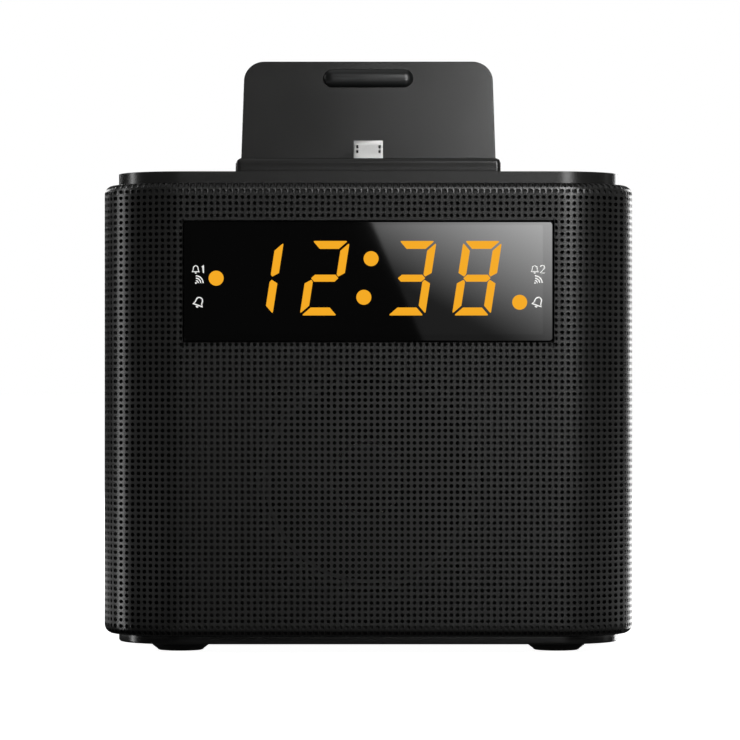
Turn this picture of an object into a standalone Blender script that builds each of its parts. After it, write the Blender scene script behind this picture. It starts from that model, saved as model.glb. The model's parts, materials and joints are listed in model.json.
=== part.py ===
"""A bedside clock radio with a phone dock on top, as an assembly of separate parts.

Metres, +Z up. The origin is on the surface that the radio stands on, under the middle of its body.
The display and the speaker grille face -Y, and +X is to the right as a listener sees it.
"""

import math

import bmesh
import bpy
from mathutils import Vector

# ---------------------------------------------------------------- driving dimensions

GAP = 0.0003  # clearance between pieces that touch on the real radio

BODY_WIDTH = 0.1183
BODY_DEPTH = 0.096
BODY_CORNER = 0.0176  # plan radius of the upright corners
SHELL_BOTTOM = 0.0039
SHELL_TOP = 0.104
SHELL_ROLL = 0.002  # radius of the rolled upper and lower edges
SHELL_LEDGE = 0.0029  # how far the rolled edges reach inwards
GRILLE_WALL = 0.0009
REAR_WALL = 0.0018
CABINET_WALL = 0.002

PLATE_INSET = 0.0032  # top panel and base plate are this much smaller all round
BASE_BOTTOM = 0.0021
BASE_TOP = 0.0051
PANEL_BOTTOM = 0.103
PANEL_TOP = 0.1066

WINDOW_WIDTH = 0.0812
WINDOW_HEIGHT = 0.0263
WINDOW_THICK = 0.0018
WINDOW_Z = 0.0822

DISPLAY_Z = 0.0829  # middle of the digits, a little above the middle of the window
DISPLAY_HALF_WIDTH = 0.0377
DISPLAY_HALF_HEIGHT = 0.0096
DIGIT_HEIGHT = 0.0164
DIGIT_WIDTH = 0.0085
DIGIT_SLANT = math.radians(8.8)
SEGMENT_WIDTH = 0.00175
SEGMENT_GAP = 0.00035
DIGIT_XS = (-0.0241, -0.0096, 0.0095, 0.0239)
DOT_RADIUS = 0.00165
COLON = ((0.0006, 0.0043), (-0.001, -0.0042))
ALARM_DOTS = ((-0.0335, 0.0), (-0.0335, -0.0053), (0.0333, 0.0), (0.0333, -0.0053))

SPEAKER_Z = 0.0385
SPEAKER_RADIUS = 0.03
SPEAKER_OPENING = 0.0252
SPEAKER_SCREW_CIRCLE = 0.028

FOOT_X = 0.0422
FOOT_Y = 0.029
FOOT_RADIUS = 0.0064
FOOT_HEIGHT = 0.0018

SCREW_X = 0.0504
SCREW_Y = 0.015

LEDGE_TOP = 0.1115  # the shelf that a phone stands on
DOCK_WIDTH = 0.0609
DOCK_FRONT = -0.012
DOCK_BACK = 0.0155
DOCK_WALL = 0.0018
SEAT_DEPTH = 0.0004  # the backrest stands in a shallow seat across the shelf
SEAT_BACK = 0.0075

LEAN = math.radians(15.0)  # the backrest and the plug lean back together
BACKREST_FOOT_Y = 0.0036  # front face of the backrest where it meets the shelf
BACKREST_TOP = 0.1355
BACKREST_WIDTH_LOW = 0.0596
BACKREST_WIDTH_HIGH = 0.0584
BACKREST_CORNER = 0.0048
BACKREST_THICK = 0.0034
PAD_LENGTH = 0.0211
PAD_HEIGHT = 0.0044
PAD_Z = 0.1312

PIVOT_Y = -0.00426  # the plug carrier's pin
PIVOT_Z = 0.1056
PLUG_WIDTH = 0.00685
PLUG_THICK = 0.00185
PLUG_TIP = 0.01055  # from the pin, along the plug

BUTTON_TOP = PANEL_TOP + GAP
BUTTON_FLANGE = 0.001
BUTTON_FLANGE_BOTTOM = 0.102
BUTTONS = {
    "snooze_bar": (0.0, -0.029, 0.056, 0.0105),
    "alarm_1_button": (-0.0415, -0.029, 0.014, 0.0072),
    "alarm_2_button": (0.0415, -0.029, 0.014, 0.0072),
    "tune_down_button": (-0.043, -0.0085, 0.012, 0.0072),
    "tune_up_button": (-0.043, 0.0065, 0.012, 0.0072),
    "volume_down_button": (0.043, -0.0085, 0.012, 0.0072),
    "volume_up_button": (0.043, 0.0065, 0.012, 0.0072),
    "set_time_button": (-0.0165, 0.03, 0.018, 0.0072),
    "radio_button": (0.0165, 0.03, 0.018, 0.0072),
}

BOARD_THICK = 0.0016
KEY_BOARD_Z = 0.0964
SWITCH_HEIGHT = 0.003
MAIN_BOARD_Z = 0.02

BAY_Y = 0.0298  # middle of the two backup cells
CELL_RADIUS = 0.00515
CELL_LENGTH = 0.0442
CELL_Z = 0.0099
CELL_SPACING = 0.011
DOOR_FRONT = 0.0174
DOOR_HALF_WIDTH = 0.0254
DOOR_LIP = 0.0012  # how far the door's side flanges reach under the base plate

PORT_Z = 0.0274
USB_Z = 0.0255
DC_JACK_X = 0.0286
USB_X = 0.0
ANTENNA_X = -0.032

HALF_WIDTH = BODY_WIDTH / 2
HALF_DEPTH = BODY_DEPTH / 2
SEAM_Y = HALF_DEPTH - BODY_CORNER  # where the grille's sides end and the rear cover starts
ROUND_STEPS = 24

# ---------------------------------------------------------------- scene and materials

for old in list(bpy.data.objects):
    bpy.data.objects.remove(old)

parts = bpy.data.collections.new("clock_radio")
cutters = bpy.data.collections.new("cutters")
bpy.context.scene.collection.children.link(parts)
bpy.context.scene.collection.children.link(cutters)


def material(name, colour, roughness, metallic=0.0):
    made = bpy.data.materials.new(name)
    made.use_nodes = True
    shader = made.node_tree.nodes["Principled BSDF"]
    shader.inputs["Base Color"].default_value = (*colour, 1.0)
    shader.inputs["Roughness"].default_value = roughness
    shader.inputs["Metallic"].default_value = metallic
    return made


GRILLE_BLACK = material("grille_black", (0.022, 0.022, 0.021), 0.45)
SATIN_BLACK = material("satin_black", (0.028, 0.028, 0.027), 0.42)
INNER_BLACK = material("inner_black", (0.015, 0.015, 0.015), 0.7)
RUBBER_BLACK = material("rubber_black", (0.012, 0.012, 0.012), 0.6)
SMOKE_LENS = material("smoke_lens", (0.01, 0.01, 0.01), 0.05)
AMBER = material("amber_diffuser", (0.9, 0.42, 0.06), 0.4)
BOARD_GREEN = material("board_green", (0.03, 0.16, 0.06), 0.5)
STEEL = material("steel", (0.62, 0.62, 0.62), 0.3, 1.0)
FERRITE = material("ferrite", (0.05, 0.05, 0.055), 0.75)
PAPER_CONE = material("paper_cone", (0.03, 0.03, 0.03), 0.85)
CELL_SLEEVE = material("cell_sleeve", (0.12, 0.2, 0.32), 0.35)

# ---------------------------------------------------------------- modelling helpers


def place(name, mesh, look, location=(0, 0, 0), rotation=(0, 0, 0)):
    """A new visible part."""
    obj = bpy.data.objects.new(name, mesh)
    obj.location = location
    obj.rotation_euler = rotation
    if look is not None:
        mesh.materials.append(look)
    parts.objects.link(obj)
    return obj


def hide_as_tool(obj):
    """Turns an object into a helper that a Boolean reads."""
    parts.objects.unlink(obj)
    cutters.objects.link(obj)
    obj.hide_render = True
    obj.display_type = "WIRE"


def boolean(target, tool, operation):
    step = target.modifiers.new(tool.name, "BOOLEAN")
    step.operation = operation
    step.solver = "EXACT"
    step.object = tool
    if tool.name in parts.objects:
        hide_as_tool(tool)


def cut(target, *tools):
    for tool in tools:
        boolean(target, tool, "DIFFERENCE")


def join(target, *tools):
    for tool in tools:
        boolean(target, tool, "UNION")


def bevel(obj, width, segments=2):
    step = obj.modifiers.new("edge_round", "BEVEL")
    step.width = width
    step.segments = segments
    step.limit_method = "ANGLE"
    step.angle_limit = math.radians(40)


def box(name, low, high, look=None):
    """A block between two corners, with its origin at its middle."""
    low, high = Vector(low), Vector(high)
    shape = bmesh.new()
    bmesh.ops.create_cube(shape, size=1.0)
    bmesh.ops.scale(shape, vec=high - low, verts=shape.verts)
    mesh = bpy.data.meshes.new(name)
    shape.to_mesh(mesh)
    shape.free()
    return place(name, mesh, look, (low + high) / 2)


AXIS_TURN = {"x": (0, math.pi / 2, 0), "y": (math.pi / 2, 0, 0), "z": (0, 0, 0)}


def rod(name, centre, radius, length, axis="z", look=None, steps=ROUND_STEPS):
    """A cylinder about its middle."""
    shape = bmesh.new()
    bmesh.ops.create_cone(
        shape, cap_ends=True, segments=steps, radius1=radius, radius2=radius, depth=length
    )
    mesh = bpy.data.meshes.new(name)
    shape.to_mesh(mesh)
    shape.free()
    return place(name, mesh, look, centre, AXIS_TURN[axis])


def turned(name, profile, look, location=(0, 0, 0), axis="z", steps=ROUND_STEPS, closed=False):
    """A profile of (radius, height) points, turned about the object's own Z axis."""
    mesh = bpy.data.meshes.new(name)
    points = [(radius, 0, height) for radius, height in profile]
    edges = [(i, i + 1) for i in range(len(points) - 1)]
    if closed:
        edges.append((len(points) - 1, 0))
    mesh.from_pydata(points, edges, [])
    obj = place(name, mesh, look, location, AXIS_TURN[axis])
    screw = obj.modifiers.new("turn", "SCREW")
    screw.steps = steps
    screw.render_steps = steps
    screw.use_merge_vertices = True
    screw.merge_threshold = 0.00001
    screw.use_smooth_shade = True
    return obj


def arc(centre_x, centre_y, radius, start, end, steps):
    """Points along an arc, both ends included; the angles are in degrees."""
    found = []
    for i in range(steps + 1):
        angle = math.radians(start + (end - start) * i / steps)
        found.append((centre_x + radius * math.cos(angle), centre_y + radius * math.sin(angle)))
    return found


def rounded_rectangle(width, depth, corner, steps=6, centre=(0, 0)):
    """A closed outline, anticlockwise."""
    across, along = width / 2 - corner, depth / 2 - corner
    found = []
    for sign_x, sign_y, start in ((1, 1, 0), (-1, 1, 90), (-1, -1, 180), (1, -1, 270)):
        middle = (centre[0] + sign_x * across, centre[1] + sign_y * along)
        found += arc(*middle, corner, start, start + 90, steps)
    return found


def slab(name, outlines, thickness, look, location=(0, 0, 0), rotation=(0, 0, 0)):
    """Flat outlines given thickness, half of it on each side of their plane. Inner outlines are holes."""
    curve = bpy.data.curves.new(name, "CURVE")
    curve.dimensions = "2D"
    curve.fill_mode = "BOTH"
    curve.extrude = thickness / 2
    for outline in outlines:
        spline = curve.splines.new("POLY")
        spline.points.add(len(outline) - 1)
        for point, (x, y) in zip(spline.points, outline):
            point.co = (x, y, 0, 1)
        spline.use_cyclic_u = True
    drawn = bpy.data.objects.new(name + "_outline", curve)
    parts.objects.link(drawn)
    bpy.context.view_layer.update()
    graph = bpy.context.evaluated_depsgraph_get()
    mesh = bpy.data.meshes.new_from_object(drawn.evaluated_get(graph))
    bpy.data.objects.remove(drawn)
    weld(mesh)
    return place(name, mesh, look, location, rotation)


def weld(mesh):
    shape = bmesh.new()
    shape.from_mesh(mesh)
    bmesh.ops.remove_doubles(shape, verts=shape.verts, dist=0.000001)
    bmesh.ops.recalc_face_normals(shape, faces=shape.faces)
    shape.to_mesh(mesh)
    shape.free()


def plan_plate(name, inset, bottom, top, look, edge):
    """A horizontal plate with the body's plan, smaller by inset."""
    outline = rounded_rectangle(BODY_WIDTH - 2 * inset, BODY_DEPTH - 2 * inset, BODY_CORNER - inset)
    plate = slab(name, [outline], top - bottom, look, (0, 0, (bottom + top) / 2))
    bevel(plate, edge)
    return plate


def half_outline(inset, rear):
    """The body's plan as an open line: round the front half, or round the rear corners."""
    across, along = HALF_WIDTH - BODY_CORNER, HALF_DEPTH - BODY_CORNER
    radius = BODY_CORNER - inset
    if rear:
        start = SEAM_Y + GAP
        corners = arc(across, along, radius, 4, 90, 6) + arc(-across, along, radius, 90, 176, 6)
        return [(HALF_WIDTH - inset, start)] + corners + [(inset - HALF_WIDTH, start)]
    corners = arc(-across, -along, radius, 180, 270, 6) + arc(across, -along, radius, 270, 360, 6)
    return [(inset - HALF_WIDTH, SEAM_Y)] + corners + [(HALF_WIDTH - inset, SEAM_Y)]


def shell(name, profile, wall, look, rear=False):
    """A bent sheet that follows the plan at each (inset, height) of the profile, with Solidify."""
    rings = [[(x, y, height) for x, y in half_outline(inset, rear)] for inset, height in profile]
    count = len(rings[0])
    faces = []
    for row in range(len(rings) - 1):
        for i in range(count - 1):
            low, high = row * count + i, (row + 1) * count + i
            faces.append((low, low + 1, high + 1, high))
    mesh = bpy.data.meshes.new(name)
    mesh.from_pydata([point for ring in rings for point in ring], [], faces)
    obj = place(name, mesh, look)
    thick = obj.modifiers.new("wall", "SOLIDIFY")
    thick.thickness = wall
    thick.offset = -1
    thick.use_even_offset = True
    return obj


def rolled_profile(steps=3):
    """From the lower ledge, round the lower roll, up the wall and round the upper roll."""
    low, high, roll = SHELL_BOTTOM, SHELL_TOP, SHELL_ROLL
    found = [(SHELL_LEDGE, low)]
    for i in range(steps + 1):
        angle = math.pi / 2 * i / steps
        found.append((roll - roll * math.sin(angle), low + roll - roll * math.cos(angle)))
    for i in range(steps + 1):
        angle = math.pi / 2 * i / steps
        found.append((roll - roll * math.cos(angle), high - roll + roll * math.sin(angle)))
    return found + [(SHELL_LEDGE, high)]


def empty_at(name, location, rotation=(0, 0, 0)):
    made = bpy.data.objects.new(name, None)
    made.location = location
    made.rotation_euler = rotation
    parts.objects.link(made)
    return made


# ---------------------------------------------------------------- outer shells


def window_block(name, margin, front, back):
    """A block the size of the display window plus a margin, for openings and rebates."""
    half_x, half_z = WINDOW_WIDTH / 2 + margin, WINDOW_HEIGHT / 2 + margin
    return box(name, (-half_x, front, WINDOW_Z - half_z), (half_x, back, WINDOW_Z + half_z))


def make_grille():
    grille = shell("speaker_grille", rolled_profile(), GRILLE_WALL, GRILLE_BLACK)
    cut(grille, window_block("grille_window", GAP, -HALF_DEPTH - 0.002, -HALF_DEPTH + 0.0022))


def make_cabinet():
    """The moulded baffle and side walls behind the grille, with screw posts."""
    inset = GRILLE_WALL + GAP
    low, high = SHELL_BOTTOM + 0.0018, SHELL_TOP - 0.0018
    cabinet = shell("front_cabinet", [(inset, low), (inset, high)], CABINET_WALL, INNER_BLACK)
    baffle_y = -HALF_DEPTH + inset + CABINET_WALL / 2
    inner_x = HALF_WIDTH - inset - CABINET_WALL
    for side, end in ((-1, "left"), (1, "right")):
        for row, place_y in (("front", -SCREW_Y), ("rear", SCREW_Y)):
            name = f"post_{row}_{end}"
            reach = sorted((side * (SCREW_X - 0.004), side * (inner_x + 0.0003)))
            corner = (reach[0], place_y - 0.0038, low)
            join(cabinet, box(name, corner, (reach[1], place_y + 0.0038, 0.095)))
            cut(cabinet, rod(name + "_pilot", (side * SCREW_X, place_y, 0.012), 0.0017, 0.02, steps=12))
        centre = (side * 0.0405, -0.0422, DISPLAY_Z)
        join(cabinet, rod(f"display_boss_{end}", centre, 0.0018, 0.0066, "y", steps=12))
    cut(cabinet, window_block("lens_rebate", GAP, -HALF_DEPTH, -HALF_DEPTH + WINDOW_THICK + GAP))
    cut(cabinet, window_block("display_opening", -0.0026, -HALF_DEPTH, -HALF_DEPTH + 0.0045))
    cut(cabinet, rod("speaker_opening", (0, baffle_y, SPEAKER_Z), SPEAKER_OPENING, 0.006, "y", steps=32))
    for i in range(4):
        x, z = speaker_screw_place(i)
        cut(cabinet, rod(f"speaker_pilot_{i + 1}", (x, baffle_y, z), 0.00125, 0.006, "y", steps=10))


def make_rear_cover():
    cover = shell("rear_cover", rolled_profile(), REAR_WALL, SATIN_BLACK, rear=True)
    inner_y = HALF_DEPTH - REAR_WALL
    wall_y = HALF_DEPTH - REAR_WALL / 2
    cut(cover, rod("jack_hole", (DC_JACK_X, wall_y, PORT_Z), 0.0042, 0.006, "y"))
    cut(cover, rod("antenna_hole", (ANTENNA_X, wall_y, PORT_Z), 0.0035, 0.006, "y", steps=20))
    half_x, half_z = 0.0066 + GAP, 0.0036 + GAP
    low = (USB_X - half_x, inner_y - 0.002, USB_Z - half_z)
    cut(cover, box("usb_hole", low, (USB_X + half_x, 0.05, USB_Z + half_z)))
    for i in range(6):
        z = 0.06 + 0.005 * i
        cut(cover, box(f"vent_{i + 1}", (-0.02, inner_y - 0.002, z), (0.02, 0.05, z + 0.002)))


def make_top_panel():
    panel = plan_plate("top_panel", PLATE_INSET, PANEL_BOTTOM, PANEL_TOP, SATIN_BLACK, 0.0005)
    for name, (x, y, width, depth) in BUTTONS.items():
        cut(panel, pill(name + "_opening", x, y, width + 2 * GAP, depth + 2 * GAP, 0.01, PANEL_TOP))
    cut(panel, box("dock_opening", (-0.025, -0.009, 0.1), (0.025, 0.011, 0.11)))
    top = PANEL_BOTTOM + 0.0003
    length = top - (KEY_BOARD_Z + BOARD_THICK + GAP)
    for i, (x, y) in enumerate(((-0.03, -0.0185), (0.03, -0.0185), (-0.034, 0.03), (0.034, 0.03))):
        join(panel, rod(f"key_boss_{i + 1}", (x, y, top - length / 2), 0.0022, length, steps=12))


def make_base_plate():
    base = plan_plate("base_plate", PLATE_INSET, BASE_BOTTOM, BASE_TOP, SATIN_BLACK, 0.0004)
    rear = HALF_DEPTH
    half_x, half_y, wall = 0.0252, 0.0129, 0.0015
    low, high = BASE_TOP - 0.001, 0.0179
    join(base, box("bay_walls", (-half_x, BAY_Y - half_y, low), (half_x, BAY_Y + half_y, high)))
    half_x, half_y = half_x - wall, half_y - wall
    cut(base, box("bay_inside", (-half_x, BAY_Y - half_y, 0.0), (half_x, BAY_Y + half_y, high - wall)))
    slot = DOOR_HALF_WIDTH + GAP
    cut(base, box("door_slot", (-slot, DOOR_FRONT - GAP, 0.001), (slot, rear, 0.0028)))
    slot += DOOR_LIP
    cut(base, box("door_rails", (-slot, DOOR_FRONT - GAP, 0.0027), (slot, rear, SHELL_BOTTOM)))
    for side in (-1, 1):
        for way in (-1, 1):
            tag = f"_{side}_{way}"
            foot_x, foot_y = side * FOOT_X, way * FOOT_Y
            screw_x, screw_y = side * SCREW_X, way * SCREW_Y
            cut(base, rod("foot_seat" + tag, (foot_x, foot_y, 0.0028), 0.0033, 0.002, steps=16))
            cut(base, rod("head_seat" + tag, (screw_x, screw_y, 0.0031), 0.003, 0.0022, steps=16))
            cut(base, rod("screw_hole" + tag, (screw_x, screw_y, 0.004), 0.0018, 0.004, steps=12))
        for y in (-0.003, 0.038):
            length = MAIN_BOARD_Z - GAP - BASE_TOP + 0.0005
            centre = (side * 0.038, y, BASE_TOP - 0.0005 + length / 2)
            join(base, rod(f"board_boss_{side}_{y}", centre, 0.0025, length, steps=12))


# ---------------------------------------------------------------- feet, screws, battery bay


def make_feet():
    profile = [
        (0, FOOT_HEIGHT + 0.0016),
        (0.003, FOOT_HEIGHT + 0.0016),
        (0.003, FOOT_HEIGHT),
        (FOOT_RADIUS, FOOT_HEIGHT),
        (FOOT_RADIUS, 0.0011),
        (FOOT_RADIUS - 0.0008, 0.0005),
        (FOOT_RADIUS - 0.0016, 0),
        (0, 0),
    ]
    for end, y in (("front", -FOOT_Y), ("rear", FOOT_Y)):
        for side, x in (("left", -FOOT_X), ("right", FOOT_X)):
            turned(f"foot_{end}_{side}", profile, RUBBER_BLACK, (x, y, 0))


def screw_profile(head_radius, head_height, shank_radius, length):
    """A pan-head screw that points up, its head's flat face at height 0."""
    return [
        (0, length),
        (shank_radius * 0.5, length),
        (shank_radius, length - shank_radius),
        (shank_radius, head_height),
        (head_radius, head_height),
        (head_radius, head_height * 0.35),
        (head_radius * 0.8, 0),
        (0, 0),
    ]


def make_base_screws():
    profile = screw_profile(0.0026, 0.0016, 0.0014, 0.0135)
    for end, y in (("front", -SCREW_Y), ("rear", SCREW_Y)):
        for side, x in (("left", -SCREW_X), ("right", SCREW_X)):
            turned(f"base_screw_{end}_{side}", profile, STEEL, (x, y, BASE_BOTTOM + GAP), steps=16)


def make_battery_bay():
    cells = (("front", BAY_Y - CELL_SPACING / 2, 1), ("rear", BAY_Y + CELL_SPACING / 2, -1))
    half = CELL_LENGTH / 2
    profile = [
        (0, half),
        (0.0019, half),
        (0.0019, half - 0.0009),
        (CELL_RADIUS, half - 0.0009),
        (CELL_RADIUS, -half),
        (0, -half),
    ]
    for tag, y, way in cells:
        cell = turned(f"backup_cell_{tag}", profile, CELL_SLEEVE, (0, y, CELL_Z), steps=20)
        cell.rotation_euler = (0, way * math.pi / 2, 0)
    for side, end in ((-1, "left"), (1, "right")):
        xs = sorted((side * 0.0229, side * 0.0234))
        plate = box(f"battery_contact_{end}", (xs[0], 0.0194, 0.005), (xs[1], 0.0402, 0.015), STEEL)
        for tag, y, _ in cells:
            centre = (side * 0.02285, y, CELL_Z)
            join(plate, rod(f"dimple_{end}_{tag}", centre, 0.0022, 0.0008, "x", steps=10))
    rear = HALF_DEPTH - PLATE_INSET
    wide, low = DOOR_HALF_WIDTH, BASE_BOTTOM
    door = box("battery_door", (-wide, DOOR_FRONT, low), (wide, rear, 0.0032), SATIN_BLACK)
    wide += DOOR_LIP
    join(door, box("door_flange", (-wide, DOOR_FRONT, 0.003), (wide, rear, SHELL_BOTTOM - GAP)))
    for i in range(3):
        y = 0.037 + 0.0022 * i
        cut(door, box(f"door_grip_{i + 1}", (-0.008, y, 0.001), (0.008, y + 0.0009, low + 0.0004)))


# ---------------------------------------------------------------- display


def segment_outlines():
    """The seven segments of one slanted digit about its middle, mitred where they meet at its corners."""
    half_w, half_h, wide = DIGIT_WIDTH / 2, DIGIT_HEIGHT / 2, SEGMENT_WIDTH
    corner = 2 * SEGMENT_GAP
    cap = [
        (half_w - corner, half_h),
        (corner - half_w, half_h),
        (corner - half_w + wide, half_h - wide),
        (half_w - corner - wide, half_h - wide),
    ]
    upright = [
        (half_w, half_h - corner),
        (half_w - wide, half_h - corner - wide),
        (half_w - wide, wide / 2 + SEGMENT_GAP),
        (half_w - wide * 0.7, SEGMENT_GAP),
        (half_w, SEGMENT_GAP + wide * 0.6),
    ]
    tip = half_w - wide * 0.85
    bar = []
    for side in (1, -1):
        bar.append((side * tip, 0))
        bar.append((side * (tip - wide / 2), side * wide / 2))
        bar.append((side * (wide / 2 - tip), side * wide / 2))
    found = [bar]
    for way in (1, -1):
        found.append([(x, way * z) for x, z in cap][::way])
        for side in (1, -1):
            found.append([(side * x, way * z) for x, z in upright][:: side * way])
    return [[(x + z * math.tan(DIGIT_SLANT), z) for x, z in outline] for outline in found]


def display_shapes():
    """Every shape that can light about the display's middle: four digits, the colon and the alarm dots."""
    found = []
    for middle in DIGIT_XS:
        for outline in segment_outlines():
            found.append([(x + middle, z) for x, z in outline])
    for x, z in COLON + ALARM_DOTS:
        found.append(arc(x, z, DOT_RADIUS, 0, 330, 11))
    return found


UPRIGHT = (math.pi / 2, 0, 0)  # turns a flat outline to face -Y


def grown(outline, by):
    """The outline moved outwards from its middle."""
    middle = sum((Vector(p) for p in outline), Vector((0, 0))) / len(outline)
    found = []
    for point in outline:
        away = Vector(point) - middle
        found.append(tuple(middle + away * (1 + by / max(away.length, by))))
    return found


def make_display():
    lens = slab(
        "display_window",
        [rounded_rectangle(WINDOW_WIDTH, WINDOW_HEIGHT, 0.0008, 3)],
        WINDOW_THICK,
        SMOKE_LENS,
        (0, -HALF_DEPTH + WINDOW_THICK / 2, WINDOW_Z),
        UPRIGHT,
    )
    bevel(lens, 0.0003, 1)
    face_y = -HALF_DEPTH + WINDOW_THICK + 0.0006
    back_y = face_y + 0.0058
    reflector = box(
        "display_reflector",
        (-DISPLAY_HALF_WIDTH, face_y, DISPLAY_Z - DISPLAY_HALF_HEIGHT),
        (DISPLAY_HALF_WIDTH, back_y, DISPLAY_Z + DISPLAY_HALF_HEIGHT),
        INNER_BLACK,
    )
    shapes = display_shapes()
    depth = back_y - face_y
    openings = slab(
        "segment_openings",
        [grown(outline, 0.00017) for outline in shapes],
        depth + 0.002,
        None,
        (0, (face_y + back_y) / 2, DISPLAY_Z),
        UPRIGHT,
    )
    cut(reflector, openings)
    plate_y = back_y + GAP
    guide = box(
        "segment_light_guide",
        (-DISPLAY_HALF_WIDTH, plate_y, DISPLAY_Z - DISPLAY_HALF_HEIGHT),
        (DISPLAY_HALF_WIDTH, plate_y + 0.0009, DISPLAY_Z + DISPLAY_HALF_HEIGHT),
        AMBER,
    )
    length = plate_y + 0.0005 - face_y
    pillars = slab(
        "segment_pillars", shapes, length, None, (0, face_y + length / 2, DISPLAY_Z), UPRIGHT
    )
    join(guide, pillars)
    board_y = plate_y + 0.0009 + GAP
    box(
        "display_board",
        (-0.043, board_y, WINDOW_Z - 0.013),
        (0.043, board_y + BOARD_THICK, WINDOW_Z + 0.013),
        BOARD_GREEN,
    )


# ---------------------------------------------------------------- speaker

SPEAKER_FRONT = -HALF_DEPTH + GRILLE_WALL + GAP + CABINET_WALL + GAP


def speaker_screw_place(index):
    angle = math.radians(45 + 90 * index)
    return SPEAKER_SCREW_CIRCLE * math.cos(angle), SPEAKER_Z + SPEAKER_SCREW_CIRCLE * math.sin(angle)


def make_speaker():
    """A small full-range driver, turned about its own axis. Heights run forward from the flange's front."""
    at = (0, SPEAKER_FRONT, SPEAKER_Z)
    basket_profile = [
        (0.0252, 0),
        (SPEAKER_RADIUS, 0),
        (SPEAKER_RADIUS, -0.0014),
        (0.0264, -0.0014),
        (0.0185, -0.014),
        (0.0185, -0.0152),
        (0.0106, -0.0152),
        (0.0106, -0.014),
        (0.0173, -0.014),
        (0.0252, -0.0014),
    ]
    basket = turned("speaker_basket", basket_profile, STEEL, at, "y", closed=True)
    for i, (wide, high) in enumerate(((0.07, 0.01), (0.01, 0.07))):
        low = (-wide / 2, SPEAKER_FRONT + 0.004, SPEAKER_Z - high / 2)
        cut(basket, box(f"basket_window_{i}", low, (wide / 2, SPEAKER_FRONT + 0.011, SPEAKER_Z + high / 2)))
    screw = screw_profile(0.0017, 0.0013, 0.0009, 0.0049)
    for i in range(4):
        x, z = speaker_screw_place(i)
        cut(basket, rod(f"flange_hole_{i}", (x, SPEAKER_FRONT, z), 0.00125, 0.006, "y", steps=10))
        head_y = SPEAKER_FRONT + 0.0014 + GAP + 0.0013
        turned(f"speaker_screw_{i + 1}", screw, STEEL, (x, head_y, z), "y", steps=12)

    ring = [(0.0094, -0.0155), (0.018, -0.0155), (0.018, -0.0185), (0.0094, -0.0185)]
    turned("speaker_pole_plate", ring, STEEL, at, "y", closed=True)
    magnet = [(0.011, -0.0188), (0.02, -0.0188), (0.02, -0.0268), (0.011, -0.0268)]
    turned("speaker_magnet", magnet, FERRITE, at, "y", closed=True)
    yoke = [
        (0, -0.0158),
        (0.0076, -0.0158),
        (0.0076, -0.0271),
        (0.018, -0.0271),
        (0.018, -0.0301),
        (0, -0.0301),
    ]
    turned("speaker_yoke", yoke, STEEL, at, "y")

    cone = [
        (0.0226, -0.0019),
        (0.0226, -0.0025),
        (0.0089, -0.0119),
        (0.0089, -0.0176),
        (0.0084, -0.0176),
        (0.0084, -0.0112),
    ]
    turned("speaker_cone", cone, PAPER_CONE, at, "y", closed=True)
    cap = [
        (0, -0.008),
        (0.0045, -0.0088),
        (0.0079, -0.0109),
        (0.0079, -0.0114),
        (0.0044, -0.0094),
        (0, -0.0086),
    ]
    turned("speaker_dust_cap", cap, PAPER_CONE, at, "y")
    surround = [
        (0.0229, -0.0013),
        (0.0238, -0.0005),
        (0.0246, -0.0013),
        (0.0246, -0.0018),
        (0.0238, -0.001),
        (0.0229, -0.0018),
    ]
    turned("speaker_surround", surround, RUBBER_BLACK, at, "y", closed=True)
    spider = [
        (0.0092, -0.0126),
        (0.0118, -0.012),
        (0.0144, -0.0126),
        (0.017, -0.012),
        (0.017, -0.0125),
        (0.0144, -0.0131),
        (0.0118, -0.0125),
        (0.0092, -0.0131),
    ]
    turned("speaker_spider", spider, PAPER_CONE, at, "y", closed=True)


# ---------------------------------------------------------------- buttons and boards


def pill(name, x, y, width, depth, thickness, middle_z, look=None):
    """An upright plug with a round-ended outline."""
    outline = rounded_rectangle(width, depth, depth / 2 - 0.00005, 5)
    return slab(name, [outline], thickness, look, (x, y, middle_z))


def make_buttons():
    for name, (x, y, width, depth) in BUTTONS.items():
        low = BUTTON_FLANGE_BOTTOM + 0.0003
        cap = pill(name, x, y, width, depth, BUTTON_TOP - low, (BUTTON_TOP + low) / 2, SATIN_BLACK)
        flange_top = PANEL_BOTTOM - GAP
        thick = flange_top - BUTTON_FLANGE_BOTTOM
        wide, deep = width + 2 * BUTTON_FLANGE, depth + 2 * BUTTON_FLANGE
        join(cap, pill(name + "_flange", x, y, wide, deep, thick, BUTTON_FLANGE_BOTTOM + thick / 2))


def make_key_board():
    low, high = KEY_BOARD_Z, KEY_BOARD_Z + BOARD_THICK
    board = box("key_board", (-0.049, -0.036, low), (0.049, 0.036, high), BOARD_GREEN)
    for name, (x, y, width, _) in BUTTONS.items():
        spots = (x - 0.016, x + 0.016) if width > 0.03 else (x,)
        for i, spot in enumerate(spots):
            corner = (spot - 0.003, y - 0.003, high - 0.0002)
            join(board, box(f"{name}_switch_{i}", corner, (spot + 0.003, y + 0.003, high + SWITCH_HEIGHT)))


def make_main_board():
    low, high = MAIN_BOARD_Z, MAIN_BOARD_Z + BOARD_THICK
    board = box("main_board", (-0.042, -0.008, low), (0.042, 0.044, high), BOARD_GREEN)
    blocks = (
        ("tuner_can", (-0.03, 0.006), (-0.012, 0.024), 0.006),
        ("control_chip", (0.0, 0.006), (0.012, 0.018), 0.0014),
        ("heat_sink", (0.02, -0.004), (0.034, 0.004), 0.016),
    )
    for name, (x0, y0), (x1, y1), height in blocks:
        join(board, box(name, (x0, y0, high - 0.0002), (x1, y1, high + height)))
    for i, (x, y) in enumerate(((0.022, 0.014), (0.034, 0.014), (-0.004, -0.002))):
        join(board, rod(f"capacitor_{i + 1}", (x, y, high + 0.0058), 0.004, 0.012, steps=14))


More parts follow.
